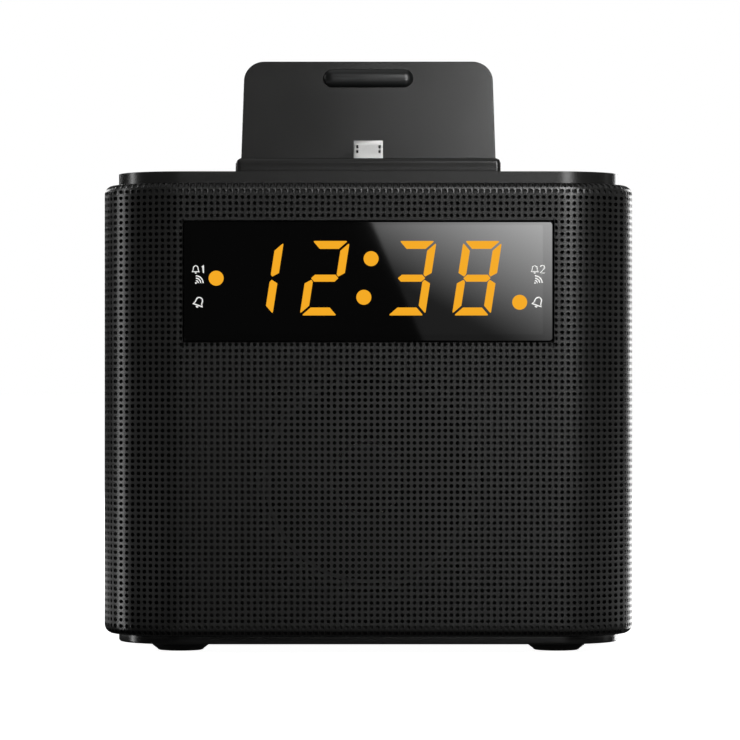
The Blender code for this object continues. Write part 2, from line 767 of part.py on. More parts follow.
def make_ports():
    floor_z = MAIN_BOARD_Z + BOARD_THICK + GAP
    low, high = (DC_JACK_X - 0.0046, 0.0316, floor_z), (DC_JACK_X + 0.0046, 0.0457, 0.033)
    jack = box("dc_jack", low, high, INNER_BLACK)
    nose_y = HALF_DEPTH - 0.0013
    join(jack, rod("jack_nose", (DC_JACK_X, nose_y - 0.0015, PORT_Z), 0.0038, 0.0048, "y", steps=16))
    bore_end = 0.034
    bore_length = HALF_DEPTH - bore_end
    middle_y = bore_end + bore_length / 2
    cut(jack, rod("jack_bore", (DC_JACK_X, middle_y, PORT_Z), 0.0031, bore_length, "y", steps=16))
    join(jack, rod("jack_pin", (DC_JACK_X, 0.0396, PORT_Z), 0.001, 0.0132, "y", steps=8))

    low, high = (USB_X - 0.0066, 0.033, floor_z), (USB_X + 0.0066, 0.0476, USB_Z + 0.0036)
    usb = box("usb_socket", low, high, STEEL)
    low, high = (USB_X - 0.0062, 0.035, USB_Z - 0.0028), (USB_X + 0.0062, 0.049, USB_Z + 0.0028)
    cut(usb, box("usb_mouth", low, high))
    low, high = (USB_X - 0.0056, 0.0345, USB_Z + 0.0002), (USB_X + 0.0056, 0.046, USB_Z + 0.002)
    join(usb, box("usb_tongue", low, high))

    grommet = [
        (0.0009, 0.0019),
        (0.0032, 0.0019),
        (0.0032, -0.0002),
        (0.0042, -0.0002),
        (0.0042, -0.0012),
        (0.0009, -0.0012),
    ]
    at = (ANTENNA_X, 0.0459, PORT_Z)
    made = turned("antenna_grommet", grommet, RUBBER_BLACK, at, steps=20, closed=True)
    made.rotation_euler = (-math.pi / 2, 0, 0)


# ---------------------------------------------------------------- phone dock


def along_lean(distance, out=0.0):
    """(y, z) of a point up the backrest's front face, and out in front of it."""
    y = BACKREST_FOOT_Y + distance * math.sin(LEAN) - out * math.cos(LEAN)
    return y, LEDGE_TOP + distance * math.cos(LEAN) + out * math.sin(LEAN)


LEANING = (math.pi / 2 - LEAN, 0, 0)  # turns a flat outline to face the phone


def make_dock_platform():
    half = DOCK_WIDTH / 2
    low = PANEL_TOP + GAP
    platform = box("dock_platform", (-half, DOCK_FRONT, low), (half, DOCK_BACK, LEDGE_TOP), SATIN_BLACK)
    bevel(platform, 0.0012)
    wall = DOCK_WALL
    cut(
        platform,
        box(
            "platform_inside",
            (-half + wall, DOCK_FRONT + wall, low - 0.002),
            (half - wall, DOCK_BACK - wall, LEDGE_TOP - 0.002),
        ),
    )
    for side in (-1, 1):
        xs = sorted((side * 0.0056, side * 0.0076))
        high = LEDGE_TOP - 0.001
        join(platform, box(f"pivot_ear_{side}", (xs[0], -0.0075, 0.1038), (xs[1], -0.0012, high)))
    cut(platform, rod("ear_bores", (0, PIVOT_Y, PIVOT_Z), 0.0009, 0.03, "x", steps=14))
    cut(platform, box("plug_slot", (-0.0039, -0.0053, 0.109), (0.0039, -0.0009, 0.113)))
    seat_front = BACKREST_FOOT_Y - GAP
    cut(platform, box("backrest_seat", (-0.04, seat_front, LEDGE_TOP - SEAT_DEPTH), (0.04, SEAT_BACK, 0.113)))
    cut(platform, box("backrest_slot", (-0.0205, 0.0042, 0.109), (0.0205, 0.0074, 0.113)))


def make_backrest():
    foot = -0.001  # a little below the shelf, so that the flat cut below takes its edge off
    high = (BACKREST_TOP - LEDGE_TOP) / math.cos(LEAN)
    low_x, high_x, corner = BACKREST_WIDTH_LOW / 2, BACKREST_WIDTH_HIGH / 2, BACKREST_CORNER
    outline = [(-low_x, foot), (low_x, foot)]
    outline += arc(high_x - corner, high - corner, corner, 0, 90, 6)
    outline += arc(-high_x + corner, high - corner, corner, 90, 180, 6)
    y, z = along_lean(0, -BACKREST_THICK / 2)
    rest = slab("backrest", [outline], BACKREST_THICK, SATIN_BLACK, (0, y, z), LEANING)
    bevel(rest, 0.0004, 1)
    foot_z = LEDGE_TOP - SEAT_DEPTH + GAP
    cut(rest, box("backrest_foot_cut", (-0.04, -0.01, 0.1), (0.04, 0.02, foot_z)))
    join(rest, box("backrest_tongue", (-0.02, 0.0046, 0.1085), (0.02, 0.007, LEDGE_TOP + 0.0012)))

    up = (PAD_Z - LEDGE_TOP) / math.cos(LEAN)
    seat = rounded_rectangle(PAD_LENGTH + 2 * GAP, PAD_HEIGHT + 2 * GAP, PAD_HEIGHT / 2, 5)
    y, z = along_lean(up)
    cut(rest, slab("pad_seat", [seat], 0.0018, None, (0, y, z), LEANING))
    capsule = rounded_rectangle(PAD_LENGTH, PAD_HEIGHT, PAD_HEIGHT / 2 - 0.00005, 5)
    y, z = along_lean(up, 0.0005)
    pad = slab("backrest_pad", [capsule], 0.002, RUBBER_BLACK, (0, y, z), LEANING)
    bevel(pad, 0.0006)

    rear_y = BACKREST_FOOT_Y + BACKREST_THICK / math.cos(LEAN) + GAP / math.cos(LEAN)
    foot_z, peak = LEDGE_TOP + GAP, 0.014
    side_view = [
        (rear_y + GAP * math.tan(LEAN), 0),
        (DOCK_BACK - 0.0006, 0),
        (rear_y + peak * math.tan(LEAN) + 0.001, peak),
        (rear_y + peak * math.tan(LEAN), peak),
    ]
    slab("backrest_brace", [side_view], 0.044, SATIN_BLACK, (0, 0, foot_z), (math.pi / 2, 0, math.pi / 2))


def plug_outline(width, thick):
    """A micro connector's shell seen end on: its wide side in front, its rear corners cut off."""
    half, chamfer = width / 2, thick * 0.42
    return [
        (-half, -thick / 2),
        (half, -thick / 2),
        (half, thick / 2 - chamfer),
        (half - chamfer, thick / 2),
        (-half + chamfer, thick / 2),
        (-half, thick / 2 - chamfer),
    ]


def make_plug():
    """The rocking phone connector, on an empty at its pin's axis, whose Z runs up the plug."""
    pivot = empty_at("plug_pivot", (0, PIVOT_Y, PIVOT_Z), (-LEAN, 0, 0))
    carrier = box("plug_carrier", (-0.0052, -0.0022, -0.003), (0.0052, 0.0022, 0.0032), INNER_BLACK)
    bevel(carrier, 0.0003, 1)
    bore = rod("carrier_bore", (0, 0, 0), 0.0009, 0.02, "x", steps=14)
    cut(carrier, bore)
    low, wall = 0.0035, 0.0003
    middle = (PLUG_TIP + low) / 2
    outer = plug_outline(PLUG_WIDTH, PLUG_THICK)
    inner = plug_outline(PLUG_WIDTH - 2 * wall, PLUG_THICK - 2 * wall)
    steel = slab("plug_shell", [outer, inner], PLUG_TIP - low, STEEL, (0, 0, middle))
    tongue = box("plug_tongue", (-0.0027, -0.0002, low), (0.0027, 0.0003, PLUG_TIP - 0.0012), INNER_BLACK)
    for obj in (carrier, bore, steel, tongue):
        obj.parent = pivot
    rod("plug_pin", (0.0013, PIVOT_Y, PIVOT_Z), 0.0006, 0.0188, "x", STEEL, steps=14)
    make_plug_spring()


def make_plug_spring():
    """The torsion spring that rocks the plug back, wound round the free end of its pin."""
    turns, per_turn, radius, wire = 4, 10, 0.0014, 0.0002
    start, pitch = 0.0081, 0.0006
    curve = bpy.data.curves.new("plug_spring", "CURVE")
    curve.dimensions = "3D"
    curve.bevel_depth = wire
    curve.bevel_resolution = 1
    curve.use_fill_caps = True
    spline = curve.splines.new("POLY")
    spline.points.add(turns * per_turn)
    for i, point in enumerate(spline.points):
        angle = 2 * math.pi * i / per_turn
        x = start + pitch * i / per_turn
        point.co = (x, radius * math.cos(angle), radius * math.sin(angle), 1)
    spring = bpy.data.objects.new("plug_spring", curve)
    spring.location = (0, PIVOT_Y, PIVOT_Z)
    curve.materials.append(STEEL)
    parts.objects.link(spring)


# ---------------------------------------------------------------- assembly

make_grille()
make_cabinet()
make_rear_cover()
make_top_panel()
make_base_plate()
make_feet()
make_base_screws()
make_battery_bay()
make_display()
make_speaker()
make_buttons()
make_key_board()
make_main_board()
make_ports()
make_dock_platform()
make_backrest()
make_plug()
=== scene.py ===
# %% [markdown]
# # A bedside clock radio with a phone dock
# The radio is a small rounded box. A perforated grille wraps round its front and sides, and a smoked
# window in it shows an amber clock. A smooth panel with flush buttons closes the top, and on the panel a
# raised shelf with a rocking plug and a leaning rest takes a phone. The working parts come packed, as
# plain solids that already fit and move. This lesson keeps them where they are, gives them their
# finishes, and swaps the ones that show for finer meshes of the same size.

import json
import math

import bmesh
import bpy
import numpy as np
from mathutils import Matrix, Vector


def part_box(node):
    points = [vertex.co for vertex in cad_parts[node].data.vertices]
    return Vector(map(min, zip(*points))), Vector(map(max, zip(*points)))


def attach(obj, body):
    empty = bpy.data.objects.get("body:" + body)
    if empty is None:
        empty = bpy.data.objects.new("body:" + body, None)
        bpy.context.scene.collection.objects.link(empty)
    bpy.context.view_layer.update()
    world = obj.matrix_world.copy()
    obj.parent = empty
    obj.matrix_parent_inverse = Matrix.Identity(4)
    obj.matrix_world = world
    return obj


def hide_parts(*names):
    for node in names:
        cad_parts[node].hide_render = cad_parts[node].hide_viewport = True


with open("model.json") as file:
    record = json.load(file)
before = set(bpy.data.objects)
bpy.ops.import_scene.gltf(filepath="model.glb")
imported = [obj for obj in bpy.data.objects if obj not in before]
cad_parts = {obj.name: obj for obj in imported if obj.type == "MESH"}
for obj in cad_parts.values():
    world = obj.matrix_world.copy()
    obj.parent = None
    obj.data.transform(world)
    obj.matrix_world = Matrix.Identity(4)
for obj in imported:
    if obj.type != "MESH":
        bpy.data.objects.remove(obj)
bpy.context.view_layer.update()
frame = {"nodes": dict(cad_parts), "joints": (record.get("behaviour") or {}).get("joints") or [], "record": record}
nodes = frame["nodes"]
MM = 0.001


def put(name, data):
    """An object made from its data, in the scene."""
    thing = bpy.data.objects.new(name, data)
    bpy.context.scene.collection.objects.link(thing)
    return thing

# %% [markdown]
# The camera is settled first, because everything that follows is judged through it. A radio like this is
# pictured from straight ahead with a long lens, level with the lower half of the case, so that its
# uprights stay upright. Lowering the horizon is done with the camera's shift, as an architect's view
# camera does it, and not by tilting, which would make the sides lean.

# %% Camera
shell_low, shell_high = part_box("speaker_grille")
CAMERA_DISTANCE = 0.869  # in front of the grille's face
CAMERA_HEIGHT = 0.0583
FIELD_WIDTH = 0.1628  # how much the picture holds across, at that face
camera_data = bpy.data.cameras.new("camera")
camera_data.sensor_width = 36.0
camera_data.lens = camera_data.sensor_width * CAMERA_DISTANCE / FIELD_WIDTH
camera_data.shift_x = 0.0022
camera_data.shift_y = 0.027
camera_data.clip_start = 0.01
camera = put("camera", camera_data)
camera.location = (0, shell_low.y - CAMERA_DISTANCE, CAMERA_HEIGHT)
camera.rotation_euler = (math.pi / 2, 0, 0)
bpy.context.scene.camera = camera
print(f"lens {camera_data.lens:.0f} mm, {CAMERA_DISTANCE:.3f} m from the grille")

# %% [markdown]
# ## Finishes
# Almost the whole radio is black, so its materials are told apart by how they shine: satin paint on the
# grille, finer satin on the moulded panel, dull rubber, and polished acrylic. Each finish is a Principled
# shader whose roughness and bump come from noise at the grain's real size, a fraction of a millimetre. A
# second, wide noise makes the slight unevenness that handling and moulding leave.

# %% A finish with grain
def node_tools(tree):
    """Short ways to add and link the nodes of one tree."""

    def add(kind, **values):
        made = tree.nodes.new(kind)
        for key, value in values.items():
            socket = key.replace("_", " ")
            if socket in made.inputs:
                made.inputs[socket].default_value = value
            else:
                setattr(made, key, value)
        return made

    def link(start, output, end, socket):
        tree.links.new(start.outputs[output], end.inputs[socket])

    return add, link


def finish(
    name, colour, rough, metallic=0.0, grain=0.25 * MM, depth=0.01 * MM, uneven=0.05, stretch=(1, 1, 1)
):
    """A Principled material with fine bump, a roughness that wanders by uneven, and a little tone."""
    material = bpy.data.materials.new(name)
    material.use_nodes = True
    add, link = node_tools(material.node_tree)
    shader = material.node_tree.nodes["Principled BSDF"]
    shader.inputs["Metallic"].default_value = metallic
    where = add("ShaderNodeTexCoord")
    scaled = add("ShaderNodeMapping", Scale=stretch)
    link(where, "Object", scaled, "Vector")
    fine = add("ShaderNodeTexNoise", Scale=1 / grain, Detail=3.0)
    wide = add("ShaderNodeTexNoise", Scale=70.0, Detail=4.0)
    link(scaled, "Vector", fine, "Vector")
    link(scaled, "Vector", wide, "Vector")
    if depth:
        bump = add("ShaderNodeBump", Distance=depth, Strength=0.6)
        link(fine, "Fac", bump, "Height")
        link(bump, "Normal", shader, "Normal")
    least, most = max(rough - uneven, 0.02), min(rough + uneven, 1.0)
    spread = add("ShaderNodeMapRange", From_Min=0.3, From_Max=0.7, To_Min=least, To_Max=most)
    link(wide, "Fac", spread, "Value")
    link(spread, "Result", shader, "Roughness")
    tone = add("ShaderNodeMix", data_type="RGBA")
    tone.inputs["A"].default_value = (*(c * 0.88 for c in colour), 1)
    tone.inputs["B"].default_value = (*(min(c * 1.12, 1) for c in colour), 1)
    link(fine, "Fac", tone, "Factor")
    link(tone, "Result", shader, "Base Color")
    return material


# %% The radio's own finishes
SATIN_BLACK = (0.011, 0.011, 0.0105)
grille_paint = finish(
    "grille_satin_paint", SATIN_BLACK, 0.31, grain=0.18 * MM, depth=0.003 * MM, uneven=0.02
)
case_plastic = finish(
    "case_satin_plastic", SATIN_BLACK, 0.25, grain=0.12 * MM, depth=0.001 * MM, uneven=0.015
)
button_plastic = finish("button_satin_plastic", (0.02, 0.02, 0.0195), 0.3, grain=0.12 * MM, depth=0.0015 * MM)
# The same matt black also goes on the grille's hole walls and floors, as painted shade.
inner_plastic_and_hole_shade = finish("inner_matt_plastic_and_hole_shade", (0.008, 0.008, 0.008), 0.75)
foot_rubber = finish("foot_rubber", (0.012, 0.012, 0.012), 0.7, grain=0.3 * MM, depth=0.03 * MM)
pad_rubber = finish("pad_rubber", (0.006, 0.0065, 0.0065), 0.33, grain=0.3 * MM, depth=0.01 * MM)
bright_steel = finish(
    "bright_steel", (0.36, 0.36, 0.355), 0.5, 1.0, grain=0.1 * MM, depth=0.001 * MM, uneven=0.02
)
dull_steel = finish("zinc_plated_steel", (0.55, 0.55, 0.53), 0.42, 1.0, stretch=(1, 1, 6))
dark_ferrite = finish("sintered_ferrite", (0.05, 0.05, 0.055), 0.8, grain=0.5 * MM, depth=0.03 * MM)
pressed_paper = finish("pressed_cone_paper", (0.007, 0.007, 0.007), 0.95, grain=0.4 * MM, depth=0.04 * MM)
board_mask = finish("board_solder_mask", (0.02, 0.12, 0.045), 0.35, grain=0.8 * MM)
cell_sleeve = finish("cell_sleeve_film", (0.1, 0.18, 0.3), 0.25)
gold_plate = finish("gold_contacts", (0.85, 0.6, 0.25), 0.3, 1.0)
print(f"{len(bpy.data.materials)} materials so far")

# %% [markdown]
# The window is smoked acrylic so dark that only the lit segments come through it. It could be glass with a
# tint, but then nearly every ray would pass into the dark behind and few would carry the reflection, which
# is what one sees, so the noise would win. It is made as polished black instead, with the segments laid in
# its face. Its roughness wanders a little, as on plastic that gets wiped. The lit segments glow by
# themselves. The marks are pale ink with a painted glow, which keeps them readable under the window's
# bright reflection. Both hardly reflect.

# %% Window, segments and ink
def set_sockets(material, **sockets):
    """Sets values that are the same all over on a material's shader."""
    shader = material.node_tree.nodes["Principled BSDF"]
    for key, value in sockets.items():
        shader.inputs[key.replace("_", " ")].default_value = value


POLISHED_BLACK, WHITE = (0.001, 0.001, 0.001), (1, 1, 1, 1)
smoked_acrylic = finish("smoked_acrylic", POLISHED_BLACK, 0.012, grain=30 * MM, depth=0.0, uneven=0.01)
display_film = finish("display_film", POLISHED_BLACK, 0.012, grain=30 * MM, depth=0.0, uneven=0.01)
set_sockets(display_film, IOR=1.55)
amber_light = finish("lit_amber", (0.01, 0.006, 0.001), 0.05, grain=0.5 * MM, depth=0.0, uneven=0.01)
set_sockets(amber_light, Emission_Color=(0.9, 0.4, 0.018, 1), Emission_Strength=1.0, Specular_IOR_Level=0.02)
dark_diffuser = finish("unlit_segment_resin", (0.035, 0.03, 0.024), 0.5)
pale_ink_with_painted_glow = finish("pale_ink_with_painted_glow", (0.62, 0.62, 0.6), 0.6)
# Painted glow: the pale ink is no lamp, but a faint white emission keeps it bright under any light.
set_sockets(pale_ink_with_painted_glow, Emission_Color=WHITE, Emission_Strength=0.3, Specular_IOR_Level=0.0)
button_ink = finish("button_ink", (0.5, 0.5, 0.49), 0.55)
print(f"{len(bpy.data.materials)} materials in all")

# %% [markdown]
# ## Helpers
# Four kinds of shape make up nearly everything: a flat outline with thickness and rounded edges, a turned
# profile, a sheet that follows the case's plan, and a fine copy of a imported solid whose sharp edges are
# rounded. Real moulded edges always carry a small radius, and that radius is what catches the light.

# %% Objects and modifiers
def new_piece(name, mesh, material, body="radio", replaces=()):
    """Links a mesh, gives it its finish, and makes it ride on a body."""
    piece = put(name, mesh)
    mesh.materials.clear()
    mesh.materials.append(material)
    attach(piece, body)
    if replaces:
        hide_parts(*replaces)
    return piece


def smooth(mesh, degrees=32):
    """Smooth shading, with hard edges where the surface turns by more than the angle."""
    mesh.shade_smooth()
    mesh.set_sharp_from_angle(angle=math.radians(degrees))


def round_edges(piece, width, segments, degrees=40):
    """Rounds the sharp edges. The weighted normals keep the flats flat, so that only the rounds shade."""
    piece.data.shade_smooth()
    step = piece.modifiers.new("rounded_edges", "BEVEL")
    step.width = width
    step.segments = segments
    step.limit_method = "ANGLE"
    step.angle_limit = math.radians(degrees)
    level = piece.modifiers.new("flat_faces", "WEIGHTED_NORMAL")
    level.weight = 100
    return applied(piece)


def applied(piece):
    """Turns the modifiers into mesh, so that what is seen is what is kept."""
    graph = bpy.context.evaluated_depsgraph_get()
    piece.update_tag()
    bpy.context.view_layer.update()
    made = bpy.data.meshes.new_from_object(piece.evaluated_get(graph), depsgraph=graph)
    piece.modifiers.clear()
    piece.data = made
    return piece


# %% Outlines
def arc(x, y, radius, start, end, steps):
    """Points along an arc, with both ends; the angles are in degrees."""
    found = []
    for i in range(steps + 1):
        angle = math.radians(start + (end - start) * i / steps)
        found.append((x + radius * math.cos(angle), y + radius * math.sin(angle)))
    return found


def rounded(width, height, corner, steps=8, middle=(0, 0)):
    """A rectangle with round corners, anticlockwise."""
    across, up = width / 2 - corner, height / 2 - corner
    found = []
    for sign_x, sign_y, start in ((1, 1, 0), (-1, 1, 90), (-1, -1, 180), (1, -1, 270)):
        centre = (middle[0] + sign_x * across, middle[1] + sign_y * up)
        found += arc(*centre, corner, start, start + 90, steps)
    return found


def line_around(points, width):
    """The outline of a thin line drawn through points, for ink marks. Ends are square."""
    left, right = [], []
    for i, point in enumerate(points):
        before, after = points[max(i - 1, 0)], points[min(i + 1, len(points) - 1)]
        along = (Vector(after) - Vector(before)).normalized()
        across = Vector((-along.y, along.x)) * width / 2
        left.append(tuple(Vector(point) + across))
        right.append(tuple(Vector(point) - across))
    return left + right[::-1]


def merged(mesh, near, bend, outwards=False):
    """Makes one of points that lie together and one of faces that lie flat, and can turn all faces out."""
    shape = bmesh.new()
    shape.from_mesh(mesh)
    bmesh.ops.remove_doubles(shape, verts=shape.verts, dist=near)
    bmesh.ops.dissolve_limit(shape, angle_limit=math.radians(bend), verts=shape.verts, edges=shape.edges)
    if outwards:
        bmesh.ops.recalc_face_normals(shape, faces=shape.faces)
    shape.to_mesh(mesh)
    shape.free()
    return mesh


def slab_mesh(name, outlines, thickness):
    """Flat outlines with thickness about their plane. Inner outlines are holes."""
    curve = bpy.data.curves.new(name, "CURVE")
    curve.dimensions = "2D"
    curve.fill_mode = "BOTH"
    curve.extrude = thickness / 2
    for outline in outlines:
        spline = curve.splines.new("POLY")
        spline.points.add(len(outline) - 1)
        for point, (x, y) in zip(spline.points, outline):
            point.co = (x, y, 0, 1)
        spline.use_cyclic_u = True
    drawn = put(name, curve)
    bpy.context.view_layer.update()
    mesh = bpy.data.meshes.new_from_object(drawn.evaluated_get(bpy.context.evaluated_depsgraph_get()))
    bpy.data.objects.remove(drawn)
    return merged(mesh, 0.0005 * MM, 0.5, outwards=True)


FLAT = Matrix.Identity(4)
FACING_FRONT = Matrix.Rotation(math.pi / 2, 4, "X")


def slab(
    name, outlines, thickness, material, place, turn=FLAT, edge=0.0, segments=3, body="radio", replaces=()
):
    """A flat piece at a place, turned, with rounded edges."""
    mesh = slab_mesh(name, outlines, thickness)
    piece = new_piece(name, mesh, material, body, replaces)
    mesh.transform(Matrix.Translation(place) @ turn)
    if edge:
        return round_edges(piece, edge, segments)
    smooth(mesh)
    return piece


# %% Turned shapes, cutters and fine copies
def made_mesh(name, shape):
    """The mesh of a finished bmesh."""
    mesh = bpy.data.meshes.new(name)
    shape.to_mesh(mesh)
    shape.free()
    return mesh


def turned(name, profile, material, place, replaces, turn=FLAT, steps=48):
    """A profile of (radius, height) points, from the axis at the top to the axis at the bottom, turned."""
    shape = bmesh.new()
    points = [shape.verts.new((radius, 0, height)) for radius, height in profile]
    edges = [shape.edges.new(pair) for pair in zip(points, points[1:])]
    bmesh.ops.spin(shape, geom=points + edges, axis=(0, 0, 1), cent=(0, 0, 0), angle=2 * math.pi, steps=steps)
    bmesh.ops.remove_doubles(shape, verts=shape.verts, dist=0.001 * MM)
    bmesh.ops.recalc_face_normals(shape, faces=shape.faces)
    mesh = made_mesh(name, shape)
    mesh.transform(Matrix.Translation(place) @ turn)
    smooth(mesh)
    return new_piece(name, mesh, material, replaces=replaces)


def block_mesh(name, low, high):
    """A box between two corners, as a cutter or a small contact."""
    low, high = Vector(low), Vector(high)
    shape = bmesh.new()
    bmesh.ops.create_cube(shape, size=1.0)
    bmesh.ops.scale(shape, vec=high - low, verts=shape.verts)
    bmesh.ops.translate(shape, vec=(low + high) / 2, verts=shape.verts)
    return made_mesh(name, shape)


def carve(piece, cutter_meshes):
    """Cuts the meshes out of a piece, one after another."""
    for mesh in cutter_meshes:
        cutter = put("cutter", mesh)
        step = piece.modifiers.new("carve", "BOOLEAN")
        step.operation = "DIFFERENCE"
        step.solver = "EXACT"
        step.object = cutter
        applied(piece)
        bpy.data.objects.remove(cutter)
    return piece


def middle_of(node):
    """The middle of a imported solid's box."""
    low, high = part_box(node)
    return (low + high) / 2


def body_of(node):
    """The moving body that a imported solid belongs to."""
    return next(body for body, names in frame["record"]["behaviour"]["bodies"].items() if node in names)


def fine_copy(node, material, edge, segments=2):
    """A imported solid's own shape, with its flat faces made whole and its sharp edges rounded."""
    mesh = merged(nodes[node].data.copy(), 0.002 * MM, 0.6)
    piece = new_piece(node + "_fine", mesh, material, body_of(node), (node,))
    return round_edges(piece, edge, segments, 50)


# %% [markdown]
# ## The perforated grille
# The grille is what everybody sees: thousands of small round holes in straight rows, moulded into
# a sheet that wraps round the corners. A bump pattern would fall flat at the silhouette, so the holes are
# real. Each hole sits in one square cell of the sheet: four pieces of flat face round an eight-sided hole,
# and the hole's wall behind them. A tool that opens and closes straight makes holes that are evenly
# spaced as seen from the front on the front, and as seen from the side on the sides.

# %% The case's plan
half_width, half_depth = shell_high.x, -shell_low.y
shell_bottom, shell_top = shell_low.z, shell_high.z
seam_y = shell_high.y
CORNER = 17.6 * MM  # plan radius of the upright corners
ROLL = 2.0 * MM  # radius of the rolled upper and lower edges
LEDGE = 2.9 * MM  # how far the rolled edges reach inwards
WALL = 0.9 * MM
PITCH = 1.353 * MM
HOLE = 0.46 * MM
HOLE_DEPTH = 0.55 * MM
FRONT_COLUMNS = 42  # each side of the middle
FIRST_ROW = shell_top - 0.53 * MM
ROWS = 74

front_edge = FRONT_COLUMNS * PITCH
edge_angle = math.asin((front_edge - (half_width - CORNER)) / CORNER)
side_edge = -(half_depth - CORNER) - CORNER * math.cos(edge_angle)


def roll_inset(z):
    """How far the surface is inside the case's full plan at a height."""
    over = max(z - (shell_top - ROLL), shell_bottom + ROLL - z, 0.0)
    return ROLL - math.sqrt(max(ROLL * ROLL - over * over, 0.0))


def on_front(x, z, inset=None):
    """A point on the front, x to the right of the middle, or further inside by the inset."""
    inset = roll_inset(z) if inset is None else inset
    straight = half_width - CORNER
    if abs(x) <= straight:
        return (x, inset - half_depth, z)
    angle = math.asin(min((abs(x) - straight) / CORNER, 1.0))
    reach = CORNER - inset
    side = math.copysign(1, x)
    return (side * (straight + reach * math.sin(angle)), CORNER - half_depth - reach * math.cos(angle), z)


def on_side(side, y, z, inset=None):
    """A point on a side, at a depth y, or further inside by the inset."""
    inset = roll_inset(z) if inset is None else inset
    start = CORNER - half_depth
    if y >= start:
        return (side * (half_width - inset), y, z)
    angle = math.acos(min((start - y) / CORNER, 1.0))
    reach = CORNER - inset
    return (side * (half_width - CORNER + reach * math.sin(angle)), start - reach * math.cos(angle), z)


print(f"front and sides meet {math.degrees(edge_angle):.0f} degrees round the corner")

# %% Cells of the sheet
def row_edges(row):
    """Lowest and highest z of a row of cells, kept on the shell."""
    middle = FIRST_ROW - row * PITCH
    return max(middle - PITCH / 2, shell_bottom), min(middle + PITCH / 2, shell_top)


class Sheet:
    """Collects faces on a surface given by place(u, z), with faces turned to look outwards."""

    def __init__(self, place, inward, flip=False):
        self.place, self.inward, self.flip = place, Vector(inward), flip
        self.points, self.faces, self.inside = [], [], set()

    def face(self, corners):
        """Adds one face, with points of its own."""
        start = len(self.points)
        self.points += corners
        order = list(range(start, start + len(corners)))
        self.faces.append(order[::-1] if self.flip else order)

    def plain_cell(self, u0, u1, z0, z1):
        """One cell without a hole."""
        self.face([self.place(u, z) for u, z in ((u0, z0), (u1, z0), (u1, z1), (u0, z1))])

    def hole_cell(self, u0, u1, z0, z1, u, z, keep=None):
        """One cell with its hole. keep limits the hole's points, beside the window. A hole in a rolled
        edge has a floor, as the sheet is solid behind it."""
        rim = []
        for i in range(8):
            angle = math.pi / 4 * i
            at_u, at_z = u + HOLE * math.cos(angle), z + HOLE * math.sin(angle)
            if keep:
                at_u, at_z = keep(at_u, at_z)
            rim.append(self.place(at_u, at_z))
        back = [tuple(Vector(point) + self.inward) for point in rim]
        corners = [self.place(*c) for c in ((u1, z1), (u0, z1), (u0, z0), (u1, z0))]
        for side in range(4):
            first, last = corners[side - 1], corners[side]
            around = [rim[(2 * side + 1) % 8], rim[2 * side], rim[2 * side - 1]]
            self.face([first, last] + around)
        # The walls and floors go into inside, and inside gets the matt black: the shade in the holes is painted.
        for i in range(8):
            self.inside.add(len(self.faces))
            self.face([rim[i - 1], rim[i], back[i], back[i - 1]])
        if z + HOLE > shell_top - ROLL or z - HOLE < shell_bottom + ROLL:
            self.inside.add(len(self.faces))
            self.face(back)

    def mesh(self, name):
        """The collected faces, with the corners that neighbours share made one."""
        points = np.array(self.points)
        keys = np.round(points / (0.001 * MM))
        _, first, index = np.unique(keys, axis=0, return_index=True, return_inverse=True)
        index = index.reshape(-1)
        faces, dark = [], []
        for number, face in enumerate(self.faces):
            corners = list(dict.fromkeys(int(index[i]) for i in face))
            if len(corners) > 2:
                faces.append(corners)
                dark.append(number in self.inside)
        mesh = bpy.data.meshes.new(name)
        mesh.from_pydata(points[first].tolist(), [], faces)
        smooth(mesh, 28)
        return mesh, dark

    def piece(self, name):
        """The grille's paint outside, and matt black on the walls and floors of the holes, as a painted shade."""
        mesh, dark = self.mesh(name)
        made = new_piece(name, mesh, grille_paint, replaces=("speaker_grille",))
        mesh.materials.append(inner_plastic_and_hole_shade)
        mesh.polygons.foreach_set("material_index", np.array(dark, dtype=np.int32))
        return made


# %% Edges of the sheet: the ledges above and below, and the end at the seam
def add_ledges(sheet, place, us):
    """The flat ledges that the rolled edges end in, and the lip behind them."""
    for z, inside in ((shell_top, shell_top - WALL), (shell_bottom, shell_bottom + WALL)):
        for u0, u1 in zip(us, us[1:]):
            outer = [place(u0, z, ROLL), place(u1, z, ROLL)]
            inner = [place(u0, z, LEDGE), place(u1, z, LEDGE)]
            lower = [place(u0, inside, LEDGE), place(u1, inside, LEDGE)]
            for near, far in ((outer, inner), (inner, lower)):
                ring = [near[0], near[1], far[1], far[0]]
                sheet.face(ring if z == shell_top else ring[::-1])


def add_end(sheet, place, u):
    """Closes the sheet's thickness at its end."""
    for row in range(ROWS):
        z0, z1 = row_edges(row)
        near = [place(u, z0), place(u, z1)]
        far = [place(u, z1, roll_inset(z1) + WALL), place(u, z0, roll_inset(z0) + WALL)]
        sheet.face((near + far)[::-1])


# %% The grille's front, round the window
window_low, window_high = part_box("display_window")
window_z = middle_of("display_window").z
WINDOW_GAP = 0.35 * MM
window_x = window_high.x + WINDOW_GAP
window_bottom, window_top = window_low.z - WINDOW_GAP, window_high.z + WINDOW_GAP
WEB = 0.03 * MM  # the least that is left between a clipped hole and the window's edge

